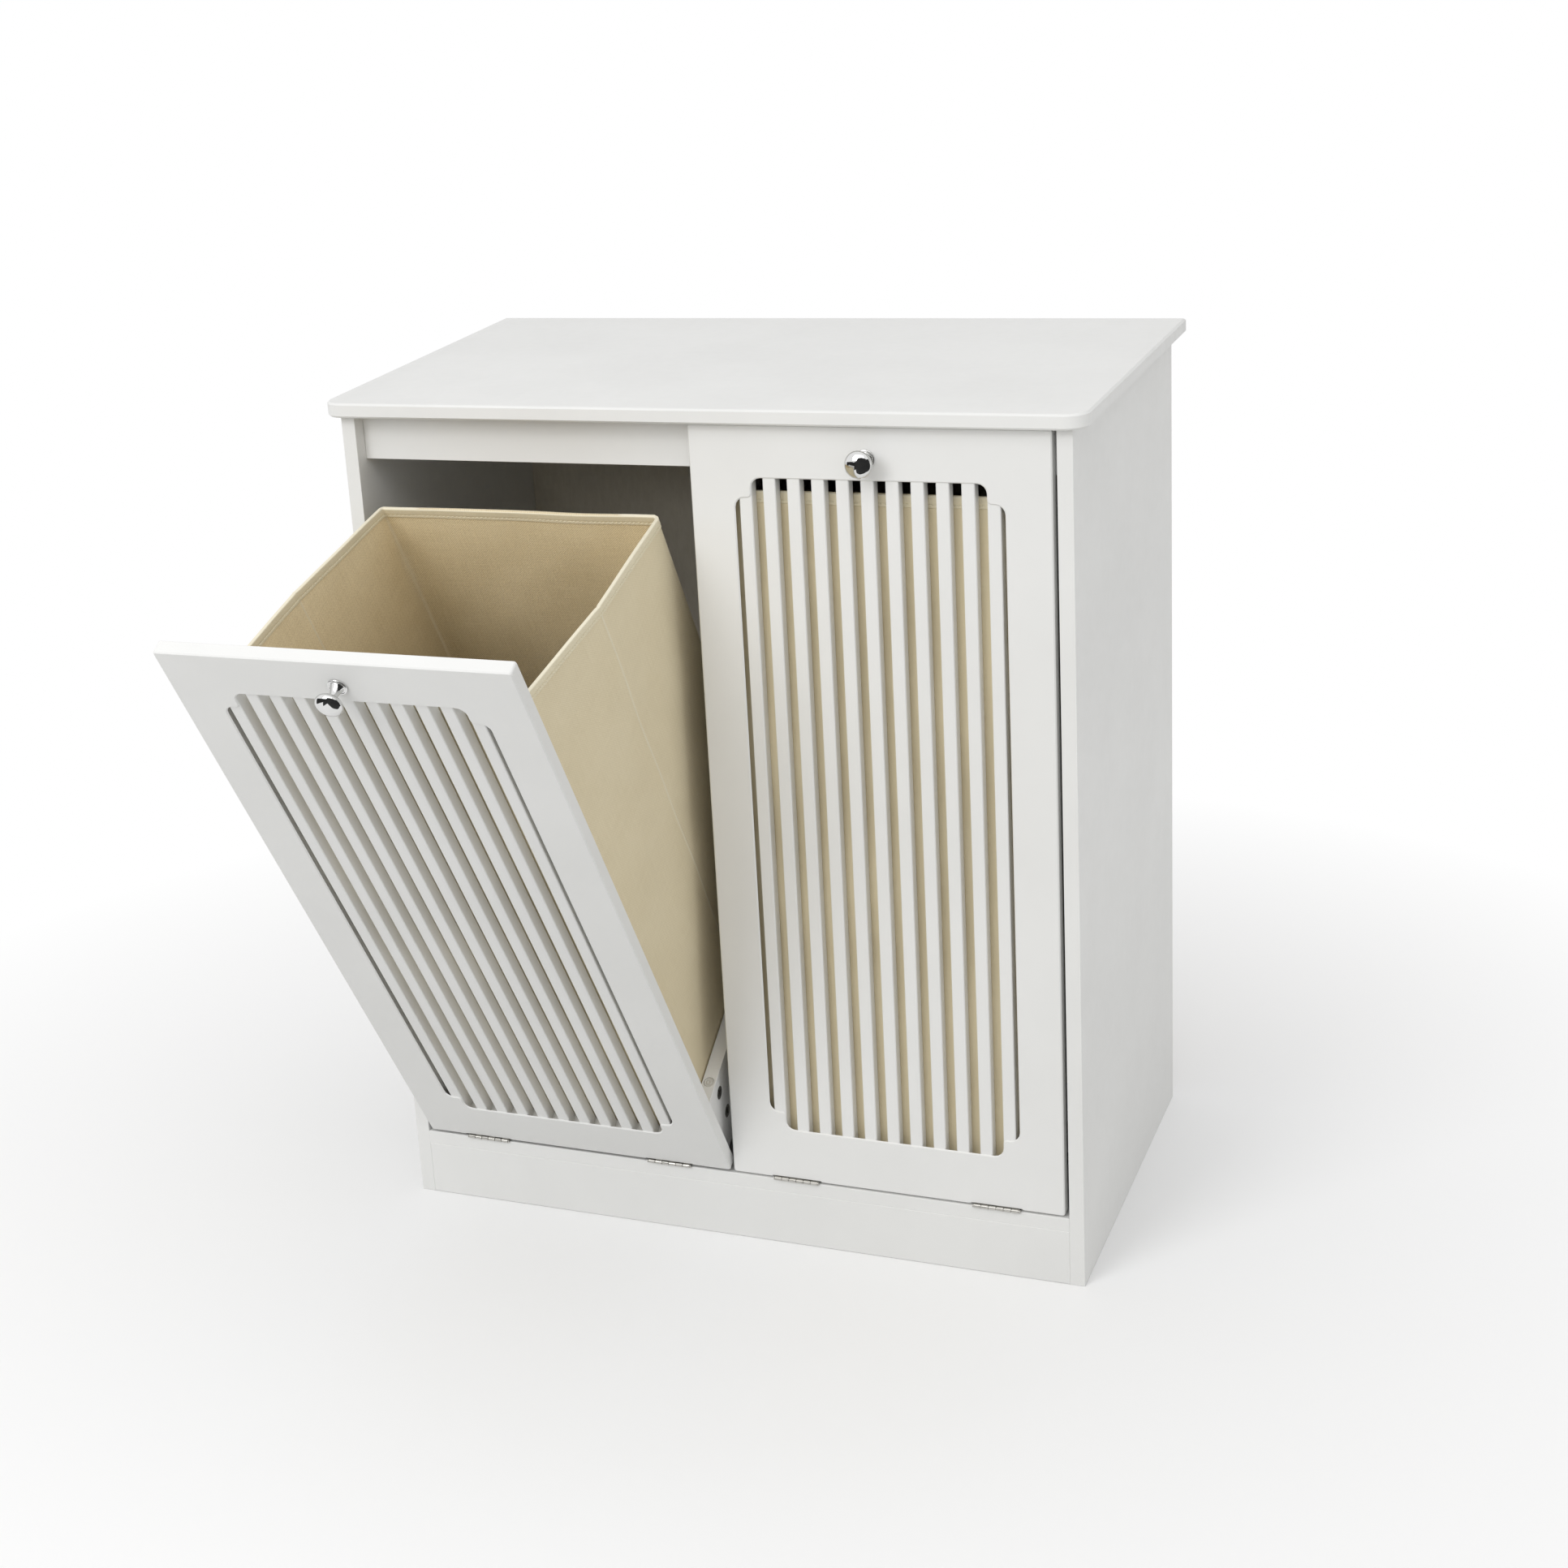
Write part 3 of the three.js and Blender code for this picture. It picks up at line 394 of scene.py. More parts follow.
def thread_finish():
    """Sewing thread: pale, with the slanted twist of its plies."""
    material, tree, shader = new_material("sewing_thread")
    place = object_place(tree)
    inputs = {"Vector": place, "Scale": 420.0, "Distortion": 2.0}
    twist = add(tree, "TexWave", inputs, bands_direction="DIAGONAL").outputs["Fac"]
    colour = blend_colours(tree, twist, (0.74, 0.67, 0.48), (0.88, 0.83, 0.66))
    shader.inputs["Roughness"].default_value = 0.6
    connect(tree, shader, colour, None, twist, 0.08 * MM, 0.5)
    return material


def metal_finish(name, light, dark, rough_low, rough_high, grain, bump):
    """Metal whose roughness and tone follow a grain, stretched by the three numbers of grain."""
    material, tree, shader = new_material(name)
    place = object_place(tree)
    lines = noise(tree, stretched(tree, place, grain), 1.0, 3.0, 0.6)
    colour = blend_colours(tree, between(tree, lines, 0, 1, 0.3, 0.7), dark, light)
    roughness = between(tree, lines, rough_low, rough_high, 0.3, 0.7)
    shader.inputs["Metallic"].default_value = 1.0
    connect(tree, shader, colour, roughness, lines, bump, 0.4)
    return material


def plastic_finish():
    """Moulded plug: a matt skin with a fine spark-eroded grain."""
    material, tree, shader = new_material("plug_moulding")
    place = object_place(tree)
    grain = noise(tree, place, 2600.0, 2.0)
    colour = blend_colours(tree, grain, (0.62, 0.61, 0.575), (0.70, 0.69, 0.655))
    roughness = between(tree, grain, 0.42, 0.55)
    connect(tree, shader, colour, roughness, grain, 0.03 * MM, 0.4)
    return material


melamine = board_finish("white_melamine", (0.83, 0.83, 0.815), (0.80, 0.80, 0.785), 0.38, 0.5)
lacquer = board_finish("white_door_lacquer", (0.835, 0.835, 0.822), (0.81, 0.81, 0.796), 0.34, 0.44)
fibreboard = fibreboard_finish()
outer_cloth = cloth_finish("bag_cloth", (0.85, 0.757, 0.545), (0.69, 0.588, 0.385), 0.5, 0.3, 0.12)
# The lining's colour carries painted shade deep in the bag and painted light near the rim
lining_cloth = cloth_finish(
    "bag_lining", (0.84, 0.735, 0.515), (0.57, 0.465, 0.28), 0.8, 0.38, 0.32, painted_deep_shade=0.74
)
hem_cloth = cloth_finish(
    "bag_hem_cloth", (0.88, 0.80, 0.61), (0.74, 0.66, 0.46), 0.75, 0.24, 0.15, (0.90, 0.85, 0.70)
)
thread = thread_finish()
chrome = metal_finish(
    "knob_chrome", (0.81, 0.81, 0.805), (0.70, 0.70, 0.69), 0.045, 0.08, (40.0, 40.0, 40.0), 0.0
)
nickel = metal_finish(
    "hinge_nickel", (0.66, 0.645, 0.61), (0.46, 0.45, 0.42), 0.30, 0.42,
    (60.0, 900.0, 900.0), 0.01 * MM
)
zinc = metal_finish(
    "cam_zinc", (0.27, 0.26, 0.235), (0.14, 0.135, 0.12), 0.40, 0.58,
    (700.0, 700.0, 700.0), 0.03 * MM
)
plug_plastic = plastic_finish()


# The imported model's own pieces

def finish_for(name):
    if name.endswith("_door"):
        return lacquer
    if name == "back_panel" or name.endswith("_tray_floor"):
        return fibreboard
    if name.endswith(("_leaf", "_pin", "_screw")):
        return nickel
    if name.endswith("_cam"):
        return zinc
    if name.endswith("_plug"):
        return plug_plastic
    if name.endswith("_knob"):
        return chrome
    if name.endswith("_bag"):
        return outer_cloth
    return melamine


for node_name, node in nodes.items():
    node.data.materials.clear()
    node.data.materials.append(finish_for(node_name))


# Bags

def bag_sizes():
    """The space for a closed bag, in its door's own frame, from the pieces that hold it.

    The right door is stored closed, so its pieces give the space. Both bags are alike.
    """
    hinge = np.array(joints["right_door_tilt"]["pos_m"])
    lowest = {
        key: np.array(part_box("right_" + key)[0]) - hinge
        for key in ("tray_right_side", "tray_back")
    }
    highest = {
        key: np.array(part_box("right_" + key)[1]) - hinge
        for key in ("tray_right_side", "tray_floor", "door")
    }
    return {
        "half_width": lowest["tray_right_side"][0] - BAG_SIDE_CLEARANCE,
        "front": highest["door"][1] + BAG_FRONT_CLEARANCE,
        "back": lowest["tray_back"][1] - BAG_REAR_CLEARANCE,
        "floor": highest["tray_floor"][2] + BAG_FLOOR_CLEARANCE,
        "tray_top": highest["tray_right_side"][2],
        "rim_front": highest["door"][2] - BAG_DROP_FRONT,
    }


BAG = bag_sizes()
BAG_DEPTH = BAG["back"] - BAG["front"]


def rounded_ring(arc_steps, wall_step):
    """A rectangle with round corners, as plan points, outward normals and length along it.

    It starts in the middle of the front wall, goes round and comes back to its first point.
    Each wall's points are denser towards its middle, where a side wall has its pressed fold.
    """
    half = BAG["half_width"] - BAG_CORNER_RADIUS
    front = BAG["front"] + BAG_CORNER_RADIUS
    back = BAG["back"] - BAG_CORNER_RADIUS
    corners = [(half, front, -90), (half, back, 0), (-half, back, 90), (-half, front, 180)]
    plan, normal = [], []
    for i, (x, y, start) in enumerate(corners):
        angle = np.radians(np.linspace(start, start + 90, arc_steps + 1))
        out = np.stack([np.cos(angle), np.sin(angle)], axis=-1)
        arc = np.array([x, y]) + BAG_CORNER_RADIUS * out
        plan.append(arc)
        normal.append(out)
        x_next, y_next, _ = corners[(i + 1) % 4]
        target = np.array([x_next, y_next]) + BAG_CORNER_RADIUS * out[-1]
        length = np.linalg.norm(target - arc[-1])
        share = np.linspace(0, 1, max(4, int(length / wall_step)) + 1)
        fine = 0.5 + BAG_FOLD_COLUMNS / length
        share = np.unique(np.concatenate([share, fine]))[1:-1, None]
        plan.append(arc[-1] + share * (target - arc[-1]))
        normal.append(np.repeat(out[-1:], len(share), axis=0))
    plan = np.concatenate(plan)
    normal = np.concatenate(normal)
    first = np.argmin(np.hypot(plan[:, 0], plan[:, 1] - BAG["front"]))
    plan = np.roll(plan, -first, axis=0)
    normal = np.roll(normal, -first, axis=0)
    plan = np.concatenate([plan, plan[:1]])
    normal = np.concatenate([normal, normal[:1]])
    length = np.concatenate([[0], np.cumsum(np.linalg.norm(np.diff(plan, axis=0), axis=1))])
    return plan, normal, length


def rim_height(y):
    """The rim falls in a straight line from the front wall to the back wall."""
    return BAG["rim_front"] - BAG_RIM_FALL * (y - BAG["front"]) / BAG_DEPTH


def bag_points(plan, normal, way, height, offset):
    """Points on the bag at a height over the hinge axis, moved outwards by offset.

    way is how far round the bag a point lies, from 0 to 1. The waves close at the seam.

    A wall leaves its plan outwards by the sum of: a fold in each side wall, which grows from
    nothing at the tray to its full reach at the rim; a fine ridge on that fold; a shallow bow
    in the back wall and hollow in the front one; and slow waves, which fade at tray and hem.
    """
    rise = np.clip((height - BAG["tray_top"]) / (BAG["rim_front"] - BAG["tray_top"]), 0, 1)
    depth_share = (plan[..., 1] - BAG["front"]) / BAG_DEPTH
    sideways = np.abs(normal[..., 0])
    backwards = np.clip(normal[..., 1], 0, 1)
    forwards = np.clip(-normal[..., 1], 0, 1)
    across_share = 1 - (plan[..., 0] / BAG["half_width"]) ** 2
    from_fold = (depth_share - 0.5) * BAG_DEPTH
    fold = BAG_FOLD_REACH * rise * (1 - np.abs(2 * depth_share - 1)) * sideways
    ridge = FOLD_RIDGE * np.exp(-((from_fold / FOLD_RIDGE_WIDTH) ** 2)) * sideways * np.sqrt(rise)
    bow = BAG_REAR_BOW * rise * across_share * backwards
    hollow = BAG_FRONT_HOLLOW * rise * across_share * forwards
    fade = np.sin(math.pi * np.clip(rise, 0, 1)) ** 0.6
    angle = 2 * math.pi * way
    waves = (
        np.sin(4 * angle + 9 * height)
        + 0.8 * np.sin(-7 * angle + 17 * height + 1.3)
        + 0.6 * np.sin(2 * angle - 38 * height + 2.1)
        + 0.4 * np.sin(12 * angle + 44 * height + 0.4)
    )
    away_from_corner = np.clip(1 - np.abs(normal[..., 0] * normal[..., 1]) * 4, 0, 1)
    out = fold + ridge + bow - hollow + BAG_WAVE * waves * fade * away_from_corner + offset
    x = plan[..., 0] + normal[..., 0] * out
    y = plan[..., 1] + normal[..., 1] * out + BAG_FLARE * rise * depth_share
    return np.stack([x, y, height + 0 * x], axis=-1)


def bag_cloth(name):
    """A stiff open bag as one closed skin: under the floor, up outside, over and down inside.

    Rows go along that path and columns go round the bag. The floor's rows shrink to its middle.
    """
    plan, normal, length = rounded_ring(BAG_CORNER_STEPS, BAG_WALL_STEP)
    columns = len(length)
    rim = rim_height(plan[:, 1]) - HEM_OVERLAP
    share = np.concatenate([np.linspace(0, 0.12, 5), np.linspace(0.14, 1, 70)])[:, None]
    outside_height = BAG["floor"] + share * (rim - BAG["floor"])
    inside_floor = BAG["floor"] + BAG_WALL
    inside_height = (inside_floor + share * (rim - inside_floor))[::-1]
    ring = (np.broadcast_to(plan, (len(share), columns, 2)),
            np.broadcast_to(normal, (len(share), columns, 2)),
            np.broadcast_to(length / length[-1], (len(share), columns)))
    outside = bag_points(*ring, outside_height, 0.0)
    inside = bag_points(*ring, inside_height, -BAG_WALL)
    middle = np.array([0, (BAG["front"] + BAG["back"]) / 2])
    shrink = np.linspace(0, 0.94, 8)[:, None, None]

    def floor_rows(edge):
        rows = np.repeat(edge[None], len(shrink), axis=0).copy()
        rows[..., :2] = middle + (rows[..., :2] - middle) * shrink
        return rows

    under = floor_rows(outside[0])
    floor = floor_rows(inside[-1])[::-1]
    points = np.concatenate([under, outside, inside, floor])
    around = np.broadcast_to(length, points.shape[:2])
    flat = np.stack([points[..., 0], points[..., 1]], axis=-1)
    uv = np.stack([around, points[..., 2]], axis=-1)
    uv[: len(shrink)] = flat[: len(shrink)]
    uv[-len(shrink):] = flat[-len(shrink):]
    rear_share = (plan[:, 1] - BAG["front"]) / BAG_DEPTH
    from_fold = np.abs(rear_share - 0.5) * BAG_DEPTH
    on_side = np.abs(normal[:, 0]) ** 8
    corner = np.abs(2 * normal[:, 0] * normal[:, 1])
    # A painted highlight along each side wall's pressed fold, and paler cloth on the corners
    fold_highlight_and_paling = np.exp(-((from_fold / FOLD_HIGHLIGHT_WIDTH) ** 2)) * on_side + CORNER_PALING * corner
    rise = np.clip((points[..., 2] - BAG["tray_top"]) / BAG["tray_top"], 0, 1)
    return surface(
        name + "_bag_cloth",
        place_on_door(points, name),
        uv,
        fold_highlight_and_paling * rise,
        len(shrink) + len(share),
    )


def hem_ring():
    """A ring with about four columns to a stitch, for the hem and its thread."""
    plan, normal, length = rounded_ring(HEM_CORNER_STEPS, BAG_WALL_STEP)
    stitches = round(length[-1] / STITCH_PITCH)
    fine = np.linspace(0, length[-1], 4 * stitches + 1)
    plan = np.stack([np.interp(fine, length, plan[:, i]) for i in (0, 1)], axis=-1)
    normal = np.stack([np.interp(fine, length, normal[:, i]) for i in (0, 1)], axis=-1)
    normal /= np.linalg.norm(normal, axis=-1, keepdims=True)
    return plan, normal, fine, stitches


def bag_hem(name):
    """The rim's folded band: a closed section carried round the rim, dented along its stitches.

    The section goes up the outer face, over the top and down the inner face, by [offset, drop].
    """
    plan, normal, length, stitches = hem_ring()
    near_stitch = STITCH_DENT_REACH / 2
    drop = np.concatenate([
        [HEM_HEIGHT],
        np.linspace(HEM_HEIGHT - HEM_ROUND, STITCH_DROP + STITCH_DENT_REACH, 3),
        np.linspace(STITCH_DROP + near_stitch, STITCH_DROP - near_stitch, 3),
        np.linspace(STITCH_DROP - STITCH_DENT_REACH, HEM_ROUND, 6),
    ])
    dent = STITCH_DENT * np.exp(-(((drop - STITCH_DROP) / STITCH_DENT_WIDTH) ** 2))
    outer = np.stack([HEM_STEP - dent, drop], axis=-1)
    outer[0, 0] -= HEM_ROUND * 0.6
    turn = np.linspace(0, math.pi, 7)[1:-1]
    half = BAG_WALL / 2 + HEM_STEP
    over = np.stack([half * np.cos(turn) - BAG_WALL / 2, HEM_ROUND * (1 - np.sin(turn))], axis=-1)
    inner = outer[::-1].copy()
    inner[:, 0] = -BAG_WALL - outer[::-1, 0]
    section = np.concatenate([outer, over, inner, outer[:1]])
    offset = section[:, :1] + 0 * length
    pucker = PUCKER * np.cos(2 * math.pi * length * stitches / length[-1])
    near = np.exp(-(((section[:, 1:] - STITCH_DROP) / PUCKER_WIDTH) ** 2))
    offset = offset + pucker * near * np.where(section[:, :1] > -BAG_WALL / 2, 1, -1)
    sag = BAG_RIM_SAG * np.clip(1 - (plan[:, 0] / BAG["half_width"]) ** 2, 0, 1)
    sag = sag * np.abs(normal[:, 1])
    rim = rim_height(plan[:, 1]) + HEM_OVERLAP - sag
    height = rim - section[:, 1:]
    shape = offset.shape
    points = bag_points(
        np.broadcast_to(plan, (*shape, 2)),
        np.broadcast_to(normal, (*shape, 2)),
        np.broadcast_to(length / length[-1], shape),
        height,
        offset,
    )
    steps = np.linalg.norm(np.diff(section, axis=0), axis=1)
    along = np.concatenate([[0], np.cumsum(steps)])[:, None] + 0 * length
    uv = np.stack([np.broadcast_to(length, shape), along], axis=-1)
    # Paler cloth along the hem's top edge
    fold_highlight_and_paling = np.exp(-((section[:, 1:] / HEM_EDGE_PALING_WIDTH) ** 2)) + 0 * length
    return surface(name + "_bag_hem", place_on_door(points, name), uv, fold_highlight_and_paling)


def bag_stitches(name):
    """A row of stitches on each face of the hem. Each stitch is a small spindle along the rim."""
    plan, normal, length, stitches = hem_ring()
    centre = (np.arange(stitches) + 0.5) * length[-1] / stitches
    along = np.linspace(-1, 1, 7)
    around = np.linspace(0, 2 * math.pi, 7)
    at = centre[:, None] + along * STITCH_LENGTH / 2
    ring = [np.interp(at, length, plan[:, i]) for i in (0, 1)]
    out = [np.interp(at, length, normal[:, i]) for i in (0, 1)]
    plan_at = np.stack(ring, axis=-1)[:, :, None]
    normal_at = np.stack(out, axis=-1)[:, :, None]
    sag = BAG_RIM_SAG * np.clip(1 - (plan_at[..., 0] / BAG["half_width"]) ** 2, 0, 1)
    sag = sag * np.abs(normal_at[..., 1])
    thickness = STITCH_RADIUS * np.sqrt(np.clip(1 - along**2, 0, 1))[None, :, None]
    lift = (STITCH_RADIUS * 0.55 * (1 - along**2) - STITCH_SINK)[None, :, None]
    faces = []
    drop = STITCH_DROP + (STITCH_SLANT * along)[None, :, None]
    for face, side in ((HEM_STEP, 1), (-BAG_WALL - HEM_STEP, -1)):
        offset = face + side * (lift - STITCH_DENT * 0.6) + thickness * np.cos(around)
        height = rim_height(plan_at[..., 1]) - sag - drop + thickness * np.sin(around)
        shape = np.broadcast_shapes(offset.shape, height.shape)
        points = bag_points(
            np.broadcast_to(plan_at, (*shape, 2)),
            np.broadcast_to(normal_at, (*shape, 2)),
            np.broadcast_to(at[:, :, None] / length[-1], shape),
            np.broadcast_to(height, shape),
            np.broadcast_to(offset, shape),
        )
        faces.append(points)
    points = place_on_door(np.concatenate(faces), name)
    return surface(name + "_bag_stitches", points, reverse=True)


def bag_base(name):
    """The stiff pad on the bag's floor: a flat slab with round edges, in the lining's cloth."""
    plan, normal, length = rounded_ring(BASE_PAD_CORNER_STEPS, BASE_PAD_WALL_STEP)
    edge = np.linspace(0, math.pi, 7)
    low = BAG["floor"] + BAG_WALL + BASE_PAD_GAP
    inset = BAG_WALL + BASE_PAD_INSET
    rows = []
    for angle in edge:
        reach = -inset - BASE_PAD_THICKNESS / 2 * (1 - math.sin(angle))
        height = low + BASE_PAD_THICKNESS / 2 * (1 - math.cos(angle))
        x = plan[:, 0] + normal[:, 0] * reach
        y = plan[:, 1] + normal[:, 1] * reach
        rows.append(np.stack([x, y, height + 0 * x], axis=-1))
    rim = np.array(rows)
    middle = np.array([0, (BAG["front"] + BAG["back"]) / 2, 0])
    keep = np.array([1, 1, 0])
    caps = []
    for row in (rim[0], rim[-1]):
        share = np.linspace(1, 0, 12)[:, None, None]
        flat = middle * keep + (row - middle) * keep * share + row * (1 - keep)
        caps.append(flat)
    points = np.concatenate([caps[0][::-1], rim[1:-1], caps[1]])
    uv = points[..., :2].copy()
    return surface(name + "_bag_base_pad", place_on_door(points, name), uv)


# Knobs and plugs

def turned(name, profile, place, forwards):
    """A profile of [radius, height] turned about a local axis, which points to -Y if forwards."""
    angle = np.linspace(0, 2 * math.pi, 65)
    radius, height = profile[:, :1], profile[:, 1:]
    first = radius * np.cos(angle)
    second = radius * np.sin(angle)
    along = height + 0 * angle
    parts = [first, -along, second] if forwards else [first, second, along]
    points = np.stack(parts, axis=-1) + np.array(place)
    return surface(name, points, reverse=not forwards)


def knob_profile(length):
    """Flange with a raised round rim, a neck that narrows like a trumpet, and an oval head.

    The rim's section is most of a circle. The neck's radius falls from the shoulder's to the
    waist's as a power of the way still to go, and a fillet joins the waist to the head.
    """
    rim_radius = KNOB_RIM_THICKNESS / 2
    turn = np.radians(np.linspace(-90, 150, 15))
    rim = np.stack([
        KNOB_FLANGE_RADIUS - rim_radius + rim_radius * np.cos(turn),
        rim_radius + rim_radius * np.sin(turn),
    ], axis=-1)
    head_middle = length - KNOB_HEAD_LENGTH / 2
    joint_angle = math.asin((KNOB_NECK_RADIUS + KNOB_FILLET) / KNOB_HEAD_RADIUS)
    joint_height = head_middle - KNOB_HEAD_LENGTH / 2 * math.cos(joint_angle)
    share = np.linspace(0, 1, 22)
    flare = (KNOB_SHOULDER_RADIUS - KNOB_NECK_RADIUS) * (1 - share) ** KNOB_NECK_CURVE
    neck_height = joint_height - KNOB_FILLET - KNOB_DISH_HEIGHT
    neck = np.stack([KNOB_NECK_RADIUS + flare, KNOB_DISH_HEIGHT + neck_height * share], axis=-1)
    turn = np.radians(np.linspace(0, 90, 7)[1:])
    fillet = np.stack([
        KNOB_NECK_RADIUS + KNOB_FILLET * (1 - np.cos(turn)),
        joint_height - KNOB_FILLET * (1 - np.sin(turn)),
    ], axis=-1)
    turn = np.linspace(joint_angle, math.pi, 44)[1:]
    head = np.stack([
        KNOB_HEAD_RADIUS * np.sin(turn),
        head_middle - KNOB_HEAD_LENGTH / 2 * np.cos(turn),
    ], axis=-1)
    head[-1, 0] = 0
    return np.concatenate([[[0, 0]], rim, neck, fillet, head])


def knob(name):
    """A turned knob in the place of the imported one, measured on the closed door."""
    low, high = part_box("right_knob")
    hinge = np.array(joints["right_door_tilt"]["pos_m"])
    centre = (np.array(low) + np.array(high)) / 2 - hinge
    seat = high[1] - hinge[1]
    profile = knob_profile(high[1] - low[1])
    piece = turned(name + "_knob_turned", profile, (centre[0], seat, centre[2]), True)
    move_to_door(piece, name)
    return piece


def move_to_door(piece, name):
    """Carries a mesh made in a closed door's frame to its place, with its faces pointing out."""
    count = len(piece.data.vertices)
    points = np.empty(count * 3)
    piece.data.vertices.foreach_get("co", points)
    points = place_on_door(points.reshape(-1, 3), name)
    piece.data.vertices.foreach_set("co", points.astype(np.float32).ravel())
    work = bmesh.new()
    work.from_mesh(piece.data)
    bmesh.ops.recalc_face_normals(work, faces=work.faces)
    work.to_mesh(piece.data)
    work.free()


def tray_plug(name, place):
    """A moulded cap in a tray board's top edge: a round rim, a ring groove and a low boss."""
    node_name = f"{name}_tray_{place}_plug"
    low, high = (np.array(corner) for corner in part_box("right_tray_" + place + "_plug"))
    hinge = np.array(joints["right_door_tilt"]["pos_m"])
    centre = (low + high) / 2 - hinge
    radius = (high[0] - low[0]) / 2
    depth = high[2] - low[2]
    shares = np.array([
        [0, 0], [1, 0], [1, 0.95], [0.96, 0.99], [0.88, 1.0], [0.78, 0.99], [0.72, 0.90],
        [0.60, 0.84], [0.52, 0.86], [0.48, 0.97], [0.40, 1.0], [0.24, 0.99], [0.20, 0.90],
        [0, 0.88],
    ])
    profile = shares * np.array([radius, depth])
    base = (centre[0], centre[1], low[2] - hinge[2])
    piece = turned(node_name + "_cap", profile, base, False)
    move_to_door(piece, name)
    return piece, node_name


for hand in HANDS:
    tilt = hand + "_tilt"
    dress(bag_cloth(hand), (outer_cloth, lining_cloth), tilt, "bag_canvas", hand + "_bag")
    dress(bag_hem(hand), (hem_cloth,), tilt, "bag_canvas")
    dress(bag_stitches(hand), (thread,), tilt, "bag_canvas")
    dress(bag_base(hand), (lining_cloth,), tilt, "bag_canvas")
    dress(knob(hand), (chrome,), tilt, "knob_chrome", hand + "_knob")
    for tray_hand in HANDS:
        cap, replaced_plug = tray_plug(hand, tray_hand)
        dress(cap, (plug_plastic,), tilt, "plug_plastic", replaced_plug)


# Camera, floor and light

def camera():
    yaw, pitch, roll = CAMERA_YAW, CAMERA_PITCH, CAMERA_ROLL
    forward = np.array([
        -math.sin(yaw) * math.cos(pitch), math.cos(yaw) * math.cos(pitch), -math.sin(pitch)
    ])
    level = np.array([math.cos(yaw), math.sin(yaw), 0])
    down = np.cross(forward, level)
    right = math.cos(roll) * level + math.sin(roll) * down
    lower = -math.sin(roll) * level + math.cos(roll) * down
    data = bpy.data.cameras.new("camera")
    data.sensor_width = CAMERA_SENSOR_MM
    data.lens = CAMERA_LENS_MM
    data.shift_x, data.shift_y = CAMERA_SHIFT
    data.clip_start = 0.05
    made = bpy.data.objects.new("camera", data)
    axes = Matrix(np.stack([right, -lower, -forward], axis=1).tolist()).to_4x4()
    made.matrix_world = Matrix.Translation(CAMERA_PLACE) @ axes
    bpy.context.scene.collection.objects.link(made)
    bpy.context.scene.camera = made


def axes_towards(place, target):
    """Three axes of a flat thing at a place: away from its target, to its side and up."""
    back = np.array(place) - np.array(target)
    back = back / np.linalg.norm(back)
    side = np.cross([0, 0, 1], back)
    side = side / np.linalg.norm(side)
    return back, side, np.cross(back, side)


def softbox(name, place, size, power):
    data = bpy.data.lights.new(name, "AREA")
    data.shape = "RECTANGLE"
    data.size, data.size_y = size
    data.energy = power
    made = bpy.data.objects.new(name, data)
    back, side, up = axes_towards(place, MIDDLE)
    axes = Matrix(np.stack([side, up, back], axis=1).tolist()).to_4x4()
    made.matrix_world = Matrix.Translation(place) @ axes
    bpy.context.scene.collection.objects.link(made)


def seen_background(tree):
    """1 for rays that show the background: the camera's, and those in gloss and glass."""
    path = add(tree, "LightPath")
    first = maths(tree, "MAXIMUM", path.outputs["Is Camera Ray"], path.outputs["Is Glossy Ray"])
    return maths(tree, "MAXIMUM", first, path.outputs["Is Transmission Ray"])


def studio_world(strength):
    world = bpy.data.worlds.new("studio")
    world.use_nodes = True
    tree = world.node_tree
    background = tree.nodes["Background"]
    background.inputs["Color"].default_value = (1, 1, 1, 1)
    seen = seen_background(tree)
    tree.links.new(between(tree, seen, strength, 1.0), background.inputs["Strength"])
    bpy.context.scene.world = world


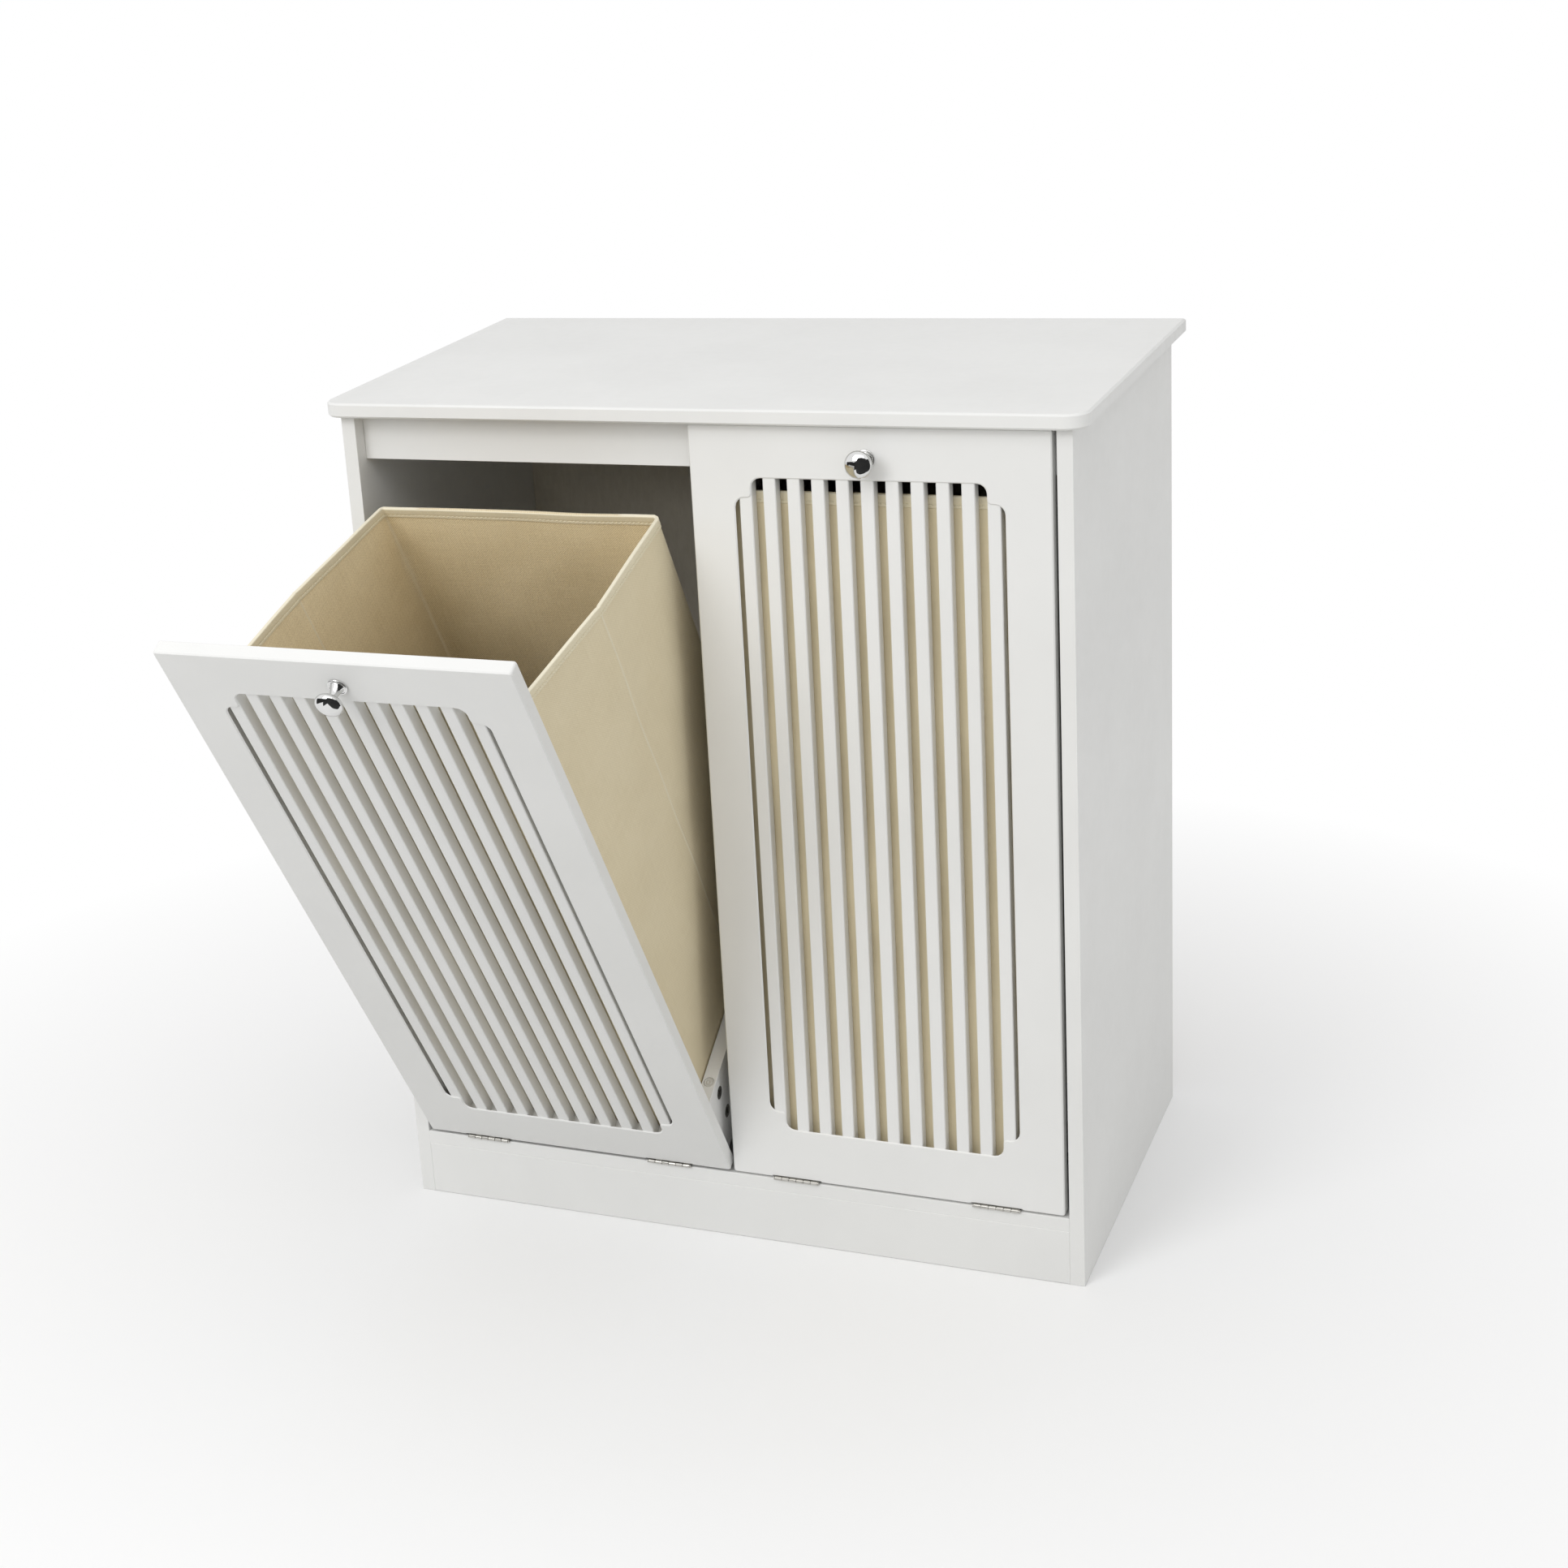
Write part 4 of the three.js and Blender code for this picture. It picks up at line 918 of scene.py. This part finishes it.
def studio_floor():
    """A pale floor that keeps the cabinet's shadow and turns to plain white further out.

    Rays that light the cabinet find it greyer than the camera does.
    """
    angle = np.linspace(0, 2 * math.pi, 97)
    radius = np.array(FLOOR_RADII)[:, None]
    level = 0 * radius * angle - FLOOR_GAP
    points = np.stack([radius * np.cos(angle), radius * np.sin(angle), level], axis=-1)
    floor = surface("studio_floor", points)
    material, tree, shader = new_material("studio_floor")
    seen = seen_background(tree)
    colour = blend_colours(tree, seen, FLOOR_LIGHTING, FLOOR_SEEN)
    tree.links.new(colour, shader.inputs["Base Color"])
    shader.inputs["Roughness"].default_value = 0.9
    distance = add(tree, "VectorMath", {0: object_place(tree)}, operation="LENGTH").outputs["Value"]
    far = between(tree, distance, 0.0, 1.0, *FLOOR_FADE)
    glow = add(tree, "Emission", {"Color": (1, 1, 1, 1), "Strength": 1.0})
    mixed = add(tree, "MixShader", {0: maths(tree, "MULTIPLY", far, seen)})
    tree.links.new(shader.outputs[0], mixed.inputs[1])
    tree.links.new(glow.outputs[0], mixed.inputs[2])
    tree.links.new(mixed.outputs[0], tree.nodes["Material Output"].inputs["Surface"])
    floor.data.materials.append(material)


def dark_card():
    """A dark card that lies on the floor and stands up at its far side.

    Only reflections see it. It gives the chrome its dark shapes.
    """
    floor_level = [DARK_CARD_HEIGHT] * len(DARK_CARD_NEAR)
    near = np.column_stack([DARK_CARD_NEAR, floor_level])
    far = np.column_stack([DARK_CARD_FAR, floor_level])
    top = np.column_stack([DARK_CARD_FAR, DARK_CARD_TOP])
    card = surface("dark_card", np.stack([near, far, top]))
    material, tree, shader = new_material("dark_card")
    shader.inputs["Base Color"].default_value = DARK_CARD_COLOUR
    shader.inputs["Roughness"].default_value = 0.9
    card.data.materials.append(material)
    card.visible_camera = False
    card.visible_diffuse = False
    card.visible_transmission = False
    card.visible_shadow = False


camera()
studio_world(WORLD_LEVEL)
studio_floor()
for light_name, light in LIGHTS.items():
    softbox(light_name, **light)
dark_card()

bpy.context.scene.view_settings.view_transform = "Standard"
